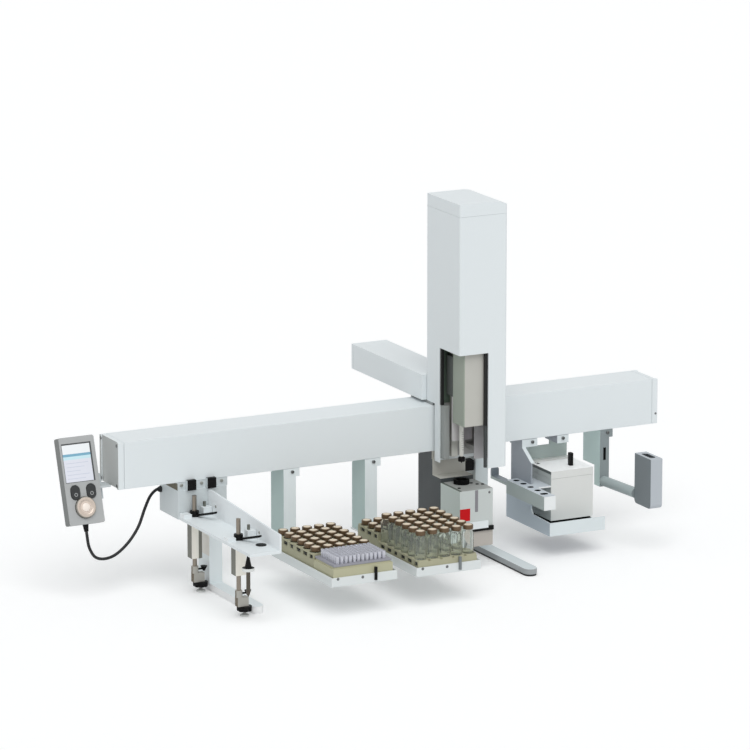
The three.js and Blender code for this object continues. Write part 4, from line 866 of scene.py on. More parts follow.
class SAMPLER_OT_tower(bpy.types.Operator):
    """Dresses the tower: its cover, cap, inner back plate, lead screw and edge strips"""

    bl_idname = "sampler.tower"
    bl_label = "Tower"

    def execute(self, context):
        edge = context.scene.sampler_covers.edge / MM
        white = white_paint()
        dressed_copy("tower_cover", "tower_cover_painted", [white], edge * 0.6)
        dressed_copy("tower_cap", "tower_cap_painted", [white], edge)
        # The back plate is darker and greener above 100 mm: painted shade deep inside the tower.
        back = paint_with_shade_above("back plate paint with painted shade above", (176, 176, 174), (104, 122, 108), 100)
        pale = surface("guide rail steel", (210, 210, 202), 0.35, metallic=0.4, spread=0.06, size=4,
                       stretch=(1, 1, 0.05))

        def plate_finish(centre, normal):
            return 1 if 714.5 < centre.x < 729.5 and centre.y < -15.5 else 0

        dressed_copy("tower_back_plate", "tower_back_plate_painted", [back, pale], 0.4, 2,
                     plate_finish)
        dress_node("lead_screw", ground_steel("screw thread steel", (112, 110, 112), "X"))
        dress_node("tower_motor", dark_paint())
        seals = [surface("black seal", (14, 14, 15), 0.6, spread=0.05, size=6),
                 surface("grey seal", (62, 66, 67), 0.6, spread=0.05, size=6)]
        piece_of_boxes("tower_edge_strips", ((687.2, 693.5, -32, -27.2, 100, 214),
                                             (744.2, 750.2, -107.6, -103, 68, 214),
                                             (744.2, 750.2, -107.6, -103, -17, 67.9, 1)),
                       seals, "arm", 0.5)
        piece_of_boxes("tower_screw_cover", ((749.8, 788.6, -53.4, -51.6, -12, 214),),
                       [powder_coat("screw cover paint", (196, 193, 195))], "arm", 0.4)
        piece_of_boxes("tower_guide_cover", ((689.5, 702, -40, -15.5, -9, 100),),
                       [powder_coat("inner paint", (150, 154, 152))], "arm", 1.0)
        return {"FINISHED"}


class SAMPLER_OT_tool(bpy.types.Operator):
    """Dresses the tool: carrier, body, syringe with plunger, and needle guide"""

    bl_idname = "sampler.tool"
    bl_label = "Syringe tool"

    def execute(self, context):
        shell = moulded("tool shell", (194, 193, 186), 0.45)
        # The tool body's faces that look left get a darker, greener copy of its moulding: painted shade.
        side = moulded("tool shell side painted shade", (158, 166, 154), 0.5)
        carrier = powder_coat("carrier paint", (96, 100, 98))
        apron = powder_coat("apron paint", (200, 198, 198))
        centre_strip = powder_coat("apron centre paint", (150, 146, 150))

        def body_finish(centre, normal):
            return 1 if normal.x < -0.6 else 0

        def carrier_finish(centre, normal):
            if centre.z > 119:
                return 0
            return 2 if normal.y < -0.5 and centre.x > 725 and centre.z < 62 else 1

        dressed_copy("tool_carrier", "tool_carrier_painted", [carrier, apron, centre_strip],
                     0.6, 2, carrier_finish, (("X", 725), ("Z", 62), ("Z", 119.5)))
        dressed_copy("tool_body", "tool_body_moulded", [shell, side], 0.8, 2, body_finish)
        low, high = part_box("syringe_barrel")
        foot = Vector(((low.x + high.x) / 2, (low.y + high.y) / 2, low.z))
        length = (high.z - low.z) / MM
        glass = surface("syringe glass", (242, 242, 236), 0.12, spread=0.02, size=12, transmission=0.2,
                        ior=1.4)
        bm = bmesh.new()
        add_tube(bm, foot, [(0, 3.4), (3, 4.6), (length - 8, 4.6), (length - 6, 5.0), (length, 5.0)], 2.6)
        make_piece("syringe_glass", bm, [glass], "tool", 0, 2, ("syringe_barrel",))
        mark = pattern_object("mark_pattern", lambda b: add_box(
            b, (-2.2 * MM, -4.85 * MM, -0.15 * MM), (2.2 * MM, -4.4 * MM, 0.15 * MM)))
        set_in_rows("syringe_marks", mark, surface("mark ink", (40, 42, 44), 0.6, spread=0.02), "tool",
                    foot + Vector((0, 0, 14 * MM)), (0, 0, 4.5), 9)
        bpy.data.objects.remove(mark)
        dress_node("syringe_plunger", ground_steel("plunger steel", (176, 176, 172)))
        dressed_copy("needle_guide", "needle_guide_moulded", [black_moulding()], 0.3)
        return {"FINISHED"}


class SAMPLER_OT_posts(bpy.types.Operator):
    """Dresses the tray posts, their clamps and the legs"""

    bl_idname = "sampler.posts"
    bl_label = "Posts and legs"

    def execute(self, context):
        pad = moulded("foot rubber", (38, 40, 42), 0.7)
        foot_top = powder_coat("centre foot paint", (221, 229, 231))
        # The centre foot's sides above its pad get a darker copy of its paint: painted shade.
        foot_side_painted_shade = powder_coat("centre foot side painted shade", (160, 164, 166))

        def centre_leg_finish(centre, normal):
            if centre.z < -215.8:
                return 1
            return 2 if centre.z < -205.5 and abs(normal.z) < 0.5 else 0

        # The posts' faces that look left get a darker, greener copy of their paint: painted shade under the
        # rail.
        post_front = powder_coat("post front paint", (236, 244, 246))
        post_side_painted_shading = powder_coat("post side paint", (180, 200, 197))
        for node in ("tray_post_left", "tray_post_right"):
            dressed_copy(node, node + "_painted", [post_front, post_side_painted_shading], 0.6, 2,
                         left_side_painted_shade)
        plate = powder_coat("leg side paint", (236, 234, 228))
        pale = powder_coat("left leg paint", (240, 247, 249))
        foot_paint = powder_coat("left foot paint", (253, 254, 254))

        def left_leg_finish(centre, normal):
            if centre.z < -205:
                return 2
            return 1 if normal.x < -0.5 and -150 < centre.z < -60 and centre.y < 32 else 0

        dressed_copy("left_leg", "left_leg_painted", [pale, plate, foot_paint], 0.9, 2,
                     left_leg_finish, (("Z", -150), ("Z", -205)))
        dressed_copy("centre_leg", "centre_leg_painted", [foot_top, pad, foot_side_painted_shade], 0.9, 2,
                     centre_leg_finish, (("Z", -205.5),))
        clamp_screw("post_clamp_screw_left", 374)
        clamp_screw("post_clamp_screw_right", 553)
        clamp_screw("centre_leg_screw", 812)
        return {"FINISHED"}


class SAMPLER_OT_trays(bpy.types.Operator):
    """Dresses the two trays with their latches and front screws"""

    bl_idname = "sampler.trays"
    bl_label = "Trays"

    def execute(self, context):
        white, black = powder_coat("tray paint", (221, 226, 226)), black_moulding()
        grey_latch = moulded("grey latch", (120, 126, 128))
        for side, latch in (("left", black), ("right", grey_latch)):
            low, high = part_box("tray_" + side)
            x0, front = (low.x - RAIL.x) / MM, (low.y - RAIL.y) / MM + 4.0

            def tray_finish(centre, normal, x0=x0, front=front):
                return 1 if centre.y < front - 0.1 and abs(centre.x - x0 - 94) < 2.6 else 0

            dressed_copy("tray_" + side, "tray_" + side + "_painted", [white, latch], 0.5, 2,
                         tray_finish)
            screws("tray_screws_" + side, FRONT, 3.0, 1.0, screw_steel(),
                   rail_point(x0 + 13.5, front, -138.6), (53, 0, -2.2), 2, socket=False)
        return {"FINISHED"}


class SAMPLER_OT_racks(bpy.types.Operator):
    """Makes the vial racks with their glass vials, caps and septa, and the well plate on its adapter"""

    bl_idname = "sampler.racks"
    bl_label = "Racks, vials and plate"

    # The vials in a rack, the steps between them and the radius of a hole, in millimetres.
    columns, rows = 5, 3
    pitch_x, pitch_y = 26.0, 28.5
    bore = 11.6

    def execute(self, context):
        given = context.scene.sampler_trays
        self.plastic = moulded("rack plastic", tone(given.rack), 0.55)
        self.glass = surface("vial glass", (244, 248, 243), 0.05, spread=0.01, size=30, transmission=0.93,
                             ior=1.12)
        self.skirt = surface("crimp skirt", tone(given.cap_side), 0.4, metallic=0.35, spread=0.12, size=6)
        self.septum = moulded("septum", tone(given.cap_top), 0.6)
        # Near black: painted shade for the inside of the racks.
        self.inside = surface("rack inside painted shade", (16, 16, 13), 0.8, spread=0.1, size=12)
        for node in ("rack_left_rear", "rack_left_middle", "rack_right_rear"):
            self.rack(node, 42.0)
        for node in ("rack_right_middle", "rack_right_front"):
            self.rack(node, 28.0)
        self.adapter_and_plate(given)
        return {"FINISHED"}

    def rack(self, node, height):
        """A rack of a given height under its top plate, with a vial in each hole."""
        low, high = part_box(node)
        size = (high - low) / MM
        corner = (low - RAIL) / MM
        body = BODY_OF[node]
        first = low + Vector(((size.x - self.pitch_x * (self.columns - 1)) / 2,
                              (size.y - self.pitch_y * (self.rows - 1)) / 2, 0)) * MM
        self.rack_block(node, body, corner, size, height)
        patterns = self.vial_patterns(size.z)
        for part, finish, slot in (("glass", self.glass, "barrel_glass"),
                                   ("skirts", self.skirt, "black_plastic"),
                                   ("septa", self.septum, "white_plastic")):
            set_in_rows(node + "_" + part, patterns[part], finish, body, first, (self.pitch_x, 0, 0),
                        self.columns, (0, self.pitch_y, 0), self.rows)
            bpy.data.objects.remove(patterns[part])

    def vial_patterns(self, top):
        """One vial of a given height as three patterns: its glass, its cap's skirt and its septum."""
        radius = 10.9
        base = 2.0
        cap = top - 8.0

        def glass(bm):
            add_turned(bm, (0, 0, 0), UP, [
                (base, 0), (base, radius - 1.5), (base + 1.5, radius), (cap - 9, radius),
                (cap - 4, radius * 0.78), (cap - 2.5, 7.2), (cap, 7.2), (cap, 0)], 20)

        def skirts(bm):
            add_turned(bm, (0, 0, 0), UP, [
                (cap - 0.6, 7.3), (cap - 0.6, 9.7), (cap + 0.6, 10), (top - 1.2, 10), (top - 0.4, 9.4),
                (top - 0.4, 7.6), (top - 1.6, 7.6), (top - 1.6, 0)], 24)

        def septa(bm):
            add_turned(bm, (0, 0, 0), UP, [
                (top - 1.55, 0), (top - 1.55, 7.5), (top - 0.2, 7.5), (top, 7.0), (top, 0)], 20)

        return {"glass": pattern_object("vial_glass", glass), "skirts": pattern_object("vial_skirt", skirts),
                "septa": pattern_object("vial_septum", septa)}

    def rack_block(self, node, body, corner, size, height):
        """The rack: four walls with windows on the left, a floor, and a top plate with bored holes."""
        bm = bmesh.new()
        x0, y0, z0 = corner
        x1, y1, z1 = x0 + size.x, y0 + size.y, z0 + height
        wall, floor, top_low = 3.0, z0 + 1.8, z1 - 3.0
        near, far = y0 + wall, y1 - wall
        slot_low, slot_high, slot_half = z1 - 12.0, z1 - 4.0, 8.8
        rail_box(bm, x0, x1, y0, y1, z0, floor)
        rail_box(bm, x0, x1, y0, near, floor, top_low)
        rail_box(bm, x0, x1, far, y1, floor, top_low)
        rail_box(bm, x1 - wall, x1, near, far, floor, top_low)
        rail_box(bm, x0, x0 + wall, near, far, floor, slot_low)
        rail_box(bm, x0, x0 + wall, near, far, slot_high, top_low)
        edges = [near]
        for row in range(self.rows):
            centre = (y0 + y1) / 2 + (row - (self.rows - 1) / 2) * self.pitch_y - 6.0
            edges += [max(near, centre - slot_half), centre + slot_half]
        edges.append(far)
        for a, b in zip(edges[0::2], edges[1::2]):
            if b - a > 0.2:
                rail_box(bm, x0, x0 + wall, a, b, slot_low, slot_high)
        self.bored_plate(bm, x0, x1, y0, y1, top_low, z1)
        make_piece(node + "_block", bm, [self.plastic], body, 0, 2, (node,))
        # A near-black sheet just inside the left wall, seen through its windows: painted shade of the rack's
        # inside.
        piece_of_boxes(node + "_lining",
                       ((x0 + wall + 0.5, x0 + wall + 1.2, y0 + wall, y1 - wall, z0 + 2, top_low),),
                       [self.inside], body)

    def bored_plate(self, bm, x0, x1, y0, y1, z0, z1, sides=20):
        """A plate with a hole for each vial: cells with a round hole, joined edge to edge."""
        first_x = (x0 + x1) / 2 - self.pitch_x * self.columns / 2
        first_y = (y0 + y1) / 2 - self.pitch_y * self.rows / 2
        for row in range(self.rows):
            for column in range(self.columns):
                left, front = first_x + column * self.pitch_x, first_y + row * self.pitch_y
                self.bored_cell(bm, left, left + self.pitch_x, front, front + self.pitch_y, z0, z1, self.bore,
                                sides)
        inner_right, inner_back = first_x + self.pitch_x * self.columns, first_y + self.pitch_y * self.rows
        for a, b, c, d in ((x0, first_x, y0, y1), (inner_right, x1, y0, y1),
                           (first_x, inner_right, y0, first_y), (first_x, inner_right, inner_back, y1)):
            if b - a > 0.05 and d - c > 0.05:
                rail_box(bm, a, b, c, d, z0, z1)

    def bored_cell(self, bm, x0, x1, y0, y1, z0, z1, radius, sides):
        """A box with a round hole through its middle, from bottom to top."""
        cx, cy = (x0 + x1) / 2, (y0 + y1) / 2
        inner, outer = [], []
        for z in (z0, z1):
            ring_in, ring_out = [], []
            for angle in ring_angles(sides):
                c, s = math.cos(angle), math.sin(angle)
                reach = min(half / abs(part) for half, part in ((x1 - cx, c), (y1 - cy, s))
                            if abs(part) > 1e-6)
                ring_in.append(bm.verts.new(rail_point(cx + radius * c, cy + radius * s, z)))
                ring_out.append(bm.verts.new(rail_point(cx + reach * c, cy + reach * s, z)))
            inner.append(ring_in)
            outer.append(ring_out)
        for k in range(sides):
            n = (k + 1) % sides
            bm.faces.new((inner[0][k], inner[0][n], outer[0][n], outer[0][k]))
            bm.faces.new((inner[1][n], inner[1][k], outer[1][k], outer[1][n]))
            bm.faces.new((inner[0][n], inner[0][k], inner[1][k], inner[1][n]))
            bm.faces.new((outer[0][k], outer[0][n], outer[1][n], outer[1][k]))

    def adapter_and_plate(self, given):
        """The plate adapter, and the well plate with its wells on it."""
        adapter = powder_coat("adapter plastic", (183, 181, 152))
        dressed_copy("plate_adapter", "plate_adapter_moulded", [adapter], 0.8)
        low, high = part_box("well_plate")
        corner, size = (low - RAIL) / MM, (high - low) / MM
        plastic = surface("plate plastic", tone(given.plate), 0.2, spread=0.02, size=20, transmission=0.3,
                          ior=1.2)
        base = surface("plate base plastic", (150, 150, 158), 0.4, spread=0.02, size=20)
        body = BODY_OF["well_plate"]
        bm = bmesh.new()
        x0, y0, z0 = corner
        rail_box(bm, x0, x0 + size.x, y0, y0 + size.y, z0, z0 + 4)
        make_piece("well_plate_base", bm, [base], body, 0.5, 2, ("well_plate",))
        radius, reach = given.well_radius / MM, size.z

        def well(bm):
            add_turned(bm, (0, 0, 0), UP, [
                (4.02, 0), (4.02, radius * 0.8), (7, radius * 0.92), (reach - 0.4, radius),
                (reach, radius - 0.2), (reach, radius * 0.78), (6.5, radius * 0.66), (6, 0)], 16)

        pattern = pattern_object("well_pattern", well)
        first = low + Vector((size.x / 2 - 49.5, size.y / 2 - 31.5, 0)) * MM
        set_in_rows("well_plate_wells", pattern, plastic, body, first, (9, 0, 0), 12,
                    (0, 9, 0), 8)
        bpy.data.objects.remove(pattern)


class SAMPLER_OT_left_unit(bpy.types.Operator):
    """Dresses the left bracket with its square clamp knobs, and the front arm with its screws"""

    bl_idname = "sampler.left_unit"
    bl_label = "Left bracket and arm"

    def execute(self, context):
        grey, white, black = grey_paint(), white_paint(), black_moulding()
        bare = surface("sleeve front", (246, 242, 232), 0.42, metallic=0.2, spread=0.04, size=3,
                       stretch=(1, 1, 0.05))
        # The sleeves' faces that look left get a dark copy of their brushed metal: painted shade, so that the
        # boxes read as round.
        shade = surface("sleeve side painted shade", (118, 118, 110), 0.5, spread=0.05, size=3, stretch=(1, 1, 0.05))

        def bracket_finish(centre, normal):
            return 1 if centre.y < -3.4 and centre.z > -17 else 0

        def arm_finish(centre, normal):
            if centre.z > -73.3:
                # The web's faces that look left get the painted light.
                return 3 if normal.x < -0.5 and centre.z > -64 else 0
            # The sleeves' faces that look left get the painted shade.
            return 2 if normal.x < -0.5 else 1

        dressed_copy("left_bracket", "left_bracket_painted", [grey, black], 0.7, 2,
                     bracket_finish)
        # The web's faces that look left get a lighter copy of the white paint: painted light.
        web_side_painted_light = powder_coat("web side painted light", (240, 244, 246))
        dressed_copy("front_arm", "front_arm_painted", [white, bare, shade, web_side_painted_light], 0.7, 2,
                     arm_finish)
        steel = pale_screw()
        piece_of_boxes("lever_stops", [(171, 189.5, rod - 8, rod + 8, -66.9, -50) for rod in ROD_PLACES],
                       [white], "frame", 0.8)
        screws("lever_stop_bolts", UP, 3.0, 10, ground_steel("bolt steel", (126, 128, 120)),
               rail_point(177.5, -12, -50), (0, -198, 0), 2)
        # A thin dark strip on the front of the rear sleeve: a painted shadow.
        piece_of_boxes("sleeve_groove", ((159, 166, -24.4, -23.9, -150, -73),), [shade], "frame")
        # A thin olive plate under the rail at the top of the bracket: painted shade.
        piece_of_boxes("bracket_recess", ((124.2, 124.95, -2, 52, -15, -1.5),),
                       [moulded("olive painted shade", (98, 94, 78), 0.6)], "frame", 0.3)
        bm = bmesh.new()
        add_turned(bm, rail_point(176, -268, -67), UP,
                   [(0.05, 0), (0.05, 10.6), (1.6, 10.0), (1.6, 7.6), (1.2, 7.4), (1.2, 0)], 28)
        make_piece("arm_grommet", bm, [black], "frame")
        screws("bracket_screws", FRONT, 3.2, 2.4, steel, rail_point(134, 0, -6), (43, 0, 0), 3)
        screws("web_screws", LEFT, 3.0, 1.2, steel, rail_point(190, -37, -46.8), (0, -194.2, -6.1), 2,
               socket=False)
        bm = bmesh.new()
        add_turned(bm, rail_point(124.9, 75, -29.2), LEFT,
                   [(-0.2, 4.2), (0, 6.2), (3, 6.0), (6.5, 4.3), (6.5, 0)], 20)
        make_piece("cord_grommet", bm, [moulded("grommet rubber", (30, 31, 33), 0.6)], "frame")
        spindle = ground_steel("spindle steel", (96, 90, 82))
        top = (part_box("locating_spindle")[1].z - RAIL.z) / MM

        def spindle_finish(centre, normal):
            """A black cone at the top, a pale ring under it, and steel below."""
            depth = top - centre.z
            if depth < 28.2:
                return 1
            return 2 if depth < 34.4 else 0

        dressed_copy("locating_spindle", "locating_spindle_turned",
                     [spindle, black, moulded("spindle ring", (226, 228, 226), 0.45)], 0.3, 2,
                     spindle_finish)
        return {"FINISHED"}


class SAMPLER_OT_stands(bpy.types.Operator):
    """Dresses the two stands: rods, clamp levers, lobed foot knobs with pads, and thumb nuts"""

    bl_idname = "sampler.stands"
    bl_label = "Stands"

    def execute(self, context):
        rod = ground_steel("rod steel", (150, 141, 130))
        jaw = surface("jaw bronze", (112, 102, 86), 0.45, metallic=0.5, spread=0.08, size=6, grain=0.02)
        pale = surface("jaw front", (178, 176, 169), 0.45, metallic=0.3, spread=0.05, size=6, grain=0.02)
        black = black_moulding()

        def rod_finish(centre, normal):
            if not -215 < centre.z < -166.5:
                return 0
            return 2 if normal.y < -0.4 or normal.z > 0.5 else 1

        for side in ("rear", "front"):
            dressed_copy(side + "_stand_rod", side + "_stand_rod_turned", [rod, jaw, pale],
                         0.3, 2, rod_finish)
            dressed_copy(side + "_stand_lever", side + "_stand_lever_moulded", [black],
                         1.2, 3)
            dressed_copy(side + "_thumb_nut", side + "_thumb_nut_moulded", [black], 0.4)
            self.foot(side)
        return {"FINISHED"}

    def foot(self, side):
        """A threaded foot: screw, lobed black knob and a pale pad."""
        node = side + "_stand_foot"
        low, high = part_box(node)
        centre = Vector(((low.x + high.x) / 2, (low.y + high.y) / 2, low.z))
        radius = (high.x - low.x) / 2 / MM
        reach = (high.z - low.z) / MM
        knob_low, knob_high = 10.7, 20.7
        bm = bmesh.new()
        outline = []
        lobes, steps = 7, 10
        for angle in ring_angles(lobes * steps):
            dip = 0.5 - 0.5 * math.cos(lobes * angle)
            outline.append((radius - 1.0 - 2.4 * dip ** 2, angle))
        rings = []
        for along, share in ((knob_low, 0.9), (knob_low + 1.2, 1.0), (knob_high - 1.2, 1.0),
                             (knob_high, 0.9)):
            places = (Vector((r * share * math.cos(a), r * share * math.sin(a), along)) for r, a in outline)
            rings.append([bm.verts.new(centre + place * MM) for place in places])
        join_rings(bm, rings)
        add_turned(bm, centre, UP, [(3.0, 2.8), (knob_low + 0.5, 2.8)], 16, 1)
        profile = [(knob_high - 0.5, 2.9)]
        while profile[-1][0] + 1.0 < reach:
            profile += [(profile[-1][0] + 0.5, 2.5), (profile[-1][0] + 1.0, 2.9)]
        add_turned(bm, centre, UP, profile, 16, 1)
        add_turned(bm, centre, UP, [(0, 8.0), (0.6, 9.0), (2.6, 9.0), (5.0, 5.0), (5.0, 0)], 24, 2)
        make_piece(side + "_stand_foot_knob", bm,
                   [black_moulding(), ground_steel("foot screw steel", (150, 150, 148)),
                    moulded("foot pad", (214, 216, 214), 0.45)],
                   BODY_OF[node], 0, 2, (node,))


class SAMPLER_OT_station(bpy.types.Operator):
    """Dresses the wash station: its frame, its tall block with the funnel, red plate, groove and shelf"""

    bl_idname = "sampler.station"
    bl_label = "Wash station"

    def execute(self, context):
        given = context.scene.sampler_modules
        dark = dark_paint()
        pale_front = powder_coat("station front paint", (186, 185, 178))
        body = surface("wash block", (200, 206, 204), 0.35, spread=0.02, size=60, grain=0.01)
        body_side = surface("wash block side", (198, 208, 203), 0.35, spread=0.02, size=60, grain=0.01)
        body_top = surface("wash block top", (166, 168, 165), 0.35, spread=0.02, size=60, grain=0.01)
        black = black_moulding()
        funnel = surface("funnel", (5, 5, 6), 0.6, spread=0.05, size=10, specular=0.1)

        def frame_finish(centre, normal):
            return 0 if normal.x < -0.5 or centre.z < -60 and normal.y < -0.5 else 1

        def wash_finish(centre, normal):
            if centre.z > -55.5:
                return 1
            if abs(centre.x - 717) < 11.5 and abs(centre.y + 62) < 11.5 and abs(normal.z) < 0.5:
                return 1
            if normal.z > 0.5 and centre.z > -57:
                return 3
            return 2 if normal.x < -0.5 else 0

        dressed_copy("station_frame", "station_frame_painted", [dark, pale_front], 0.6, 2,
                     frame_finish)
        dressed_copy("wash_module", "wash_module_moulded", [body, funnel, body_side, body_top],
                     0.5, 2, wash_finish)
        piece_of_boxes("station_dark_trim", ((706, 745, -123.6, -120, -140.2, -135.1),
                                             (745.2, 757.2, -124, -120, -140.2, -131.5)),
                       [black], "frame")
        piece_of_boxes("station_pale_trim", ((683.2, 687.8, -119, -38.6, -56.2, -55.4, 0),
                                             (716.8, 723.5, -120.25, -119.5, -101, -57, 1),
                                             (704, 745, -124.2, -120, -135, -121, 2)),
                       [powder_coat("station rim", (90, 100, 92)),
                        powder_coat("station groove", (135, 133, 138)), white_paint()], "frame")
        red = surface("red plate", tone(given.red), 0.55, spread=0.03, size=20, specular=0.2)
        piece_of_boxes("station_red_plate", ((683.3, 705.8, -120.8, -119.6, -117.2, -92.5),), [red], "frame",
                       0.3)
        piece_of_boxes("station_base_panel", ((683.4, 756.8, -120.3, -119.8, -171.8, -141),),
                       [powder_coat("station base paint", (184, 178, 171))], "frame", 0.2)
        bm = bmesh.new()
        for x, y, radius in ((735.3, -68.7, 3.4), (742.2, -81, 3.4), (752, -86, 3.2), (694.5, -95, 3.4)):
            add_turned(bm, rail_point(x, y, -56.2), UP, [(0, radius), (1.4, radius)], 16)
        rail_box(bm, 760, 779, 1, 20, -50, -29)
        make_piece("station_ports", bm, [black], "frame", 0.4)
        screws("station_screws", FRONT, 2.6, 1.0, screw_steel(), rail_point(749, -120, -64), socket=False)
        return {"FINISHED"}


class SAMPLER_OT_oven(bpy.types.Operator):
    """Dresses the oven, its lid with a black handle, its holder and the tool park"""

    bl_idname = "sampler.oven"
    bl_label = "Oven and tool park"

    def execute(self, context):
        given = context.scene.sampler_modules
        holder = powder_coat("holder paint", tone(given.holder))
        low_wall = powder_coat("holder low wall paint", (192, 203, 212))
        lip = powder_coat("lip paint", (222, 230, 232))
        panel = powder_coat("holder panel paint", (190, 203, 199))
        front = powder_coat("oven front paint", tone(given.oven_front))
        side = powder_coat("oven side paint", tone(given.oven_side))
        lid_top = powder_coat("lid paint", (253, 254, 253))
        # A dark band along the top of the lid's left side: painted shade.
        rim = powder_coat("lid side painted shade", (96, 102, 100))
        black = black_moulding()
        park_top = powder_coat("park top paint", (204, 211, 217))
        # The park bar's faces that look left get a darker, greener copy of its paint: painted shade.
        park_side_painted_shade = powder_coat("park side painted shade", (182, 192, 190))
        park_end = powder_coat("park end paint", (236, 239, 239))
        tail = powder_coat("park tail paint", (144, 152, 160))

        def holder_finish(centre, normal):
            if centre.y < -113.5 or (normal.z > 0.5 and centre.z < -100):
                return 1
            if centre.y > 42 and centre.x > 915:
                return 2
            if normal.y < -0.3 and centre.z > -60:
                return 1
            return 3 if centre.z < -104 and centre.x < 892 else 0

        def oven_finish(centre, normal):
            # The recessed base is near black: partly a dark base, partly painted shade in the gap over the
            # holder's lip.
            if centre.z < -156.5:
                return 2
            return 1 if abs(normal.x) > 0.5 else 0

        def lid_finish(centre, normal):
            if centre.z > -54:
                return 3
            if normal.z > 0.5:
                return 0
            if normal.y < -0.5:
                return 4
            # Finish 2, on the upper band of the left side, is the painted shade.
            return 2 if normal.x < -0.5 and centre.z > -60.7 else 1

        def park_finish(centre, normal):
            if centre.y > 17.2:
                return 4
            # Finish 3, on the walls round the holes, is painted shade.
            row = round((centre.y + 116.6) / 29.8)
            beside = abs(centre.x - 876.2) < 12 and abs(centre.y + 116.6 - 29.8 * row) < 8 and centre.y < 12
            if beside and (abs(normal.z) < 0.5 and 862 < centre.x < 886.8 and centre.y > -140
                           or normal.z > 0.5 and centre.z < -100):
                return 3
            if normal.y < -0.5:
                return 2
            return 1 if normal.x < -0.5 else 0

        dressed_copy("oven_holder", "oven_holder_painted", [holder, lip, panel, low_wall],
                     0.5, 2, holder_finish, (("Z", -104),))
        dressed_copy("oven_box", "oven_box_painted", [front, side, black_gap_painted_shade()], 0.8, 2,
                     oven_finish)
        dressed_copy("oven_lid", "oven_lid_painted", [lid_top, side, rim, black, front], 1.0, 3,
                     lid_finish, (("Z", -60.7),))
        dressed_copy("tool_park", "tool_park_painted", [park_top, park_side_painted_shade, park_end, black_gap_painted_shade(), tail],
                     0.4, 2, park_finish)
        clamp_screw("holder_clamp_screw", 911)
        clamp_screw("holder_clamp_screw_right", 981)
        return {"FINISHED"}


class SAMPLER_OT_reader(bpy.types.Operator):
    """Dresses the reader and its stepped post"""

    bl_idname = "sampler.reader"
    bl_label = "Reader"

    def execute(self, context):
        post = powder_coat("reader post paint", (170, 181, 182))
        # The post's faces that look left get a lighter copy of its paint: painted light, set against the
        # shade under the rail. Its front faces get a darker copy.
        post_side_painted_shading = powder_coat("reader post side painted light", (205, 225, 222))
        post_front = powder_coat("reader post front paint", (137, 146, 148))
        body = powder_coat("reader paint", (184, 190, 196))
        side = powder_coat("reader side paint", (125, 132, 136))
        slot = powder_coat("reader slot paint", (84, 88, 92))

        def post_finish(centre, normal):
            if abs(centre.x - 1077.5) < 3.2 and centre.y < 3.5 and -64 < centre.z < -36:
                return 2
            if normal.x < -0.6 and centre.y > -30:
                return 3
            return 1 if normal.y < -0.6 else 0

        def reader_finish(centre, normal):
            if normal.x < -0.5 and centre.x < 1083:
                return 1
            if centre.z < -24 and 1084 < centre.x < 1107 and -170 < centre.y < -124:
                return 2
            return 0

        dressed_copy("reader_post", "reader_post_painted", [post, post_front, black_moulding(), post_side_painted_shading],
                     0.6, 2, post_finish)
        dressed_copy("reader_box", "reader_box_painted", [body, side, slot], 3.0, 3,
                     reader_finish)
        clamp_screw("reader_clamp_screw", 1084)
        return {"FINISHED"}


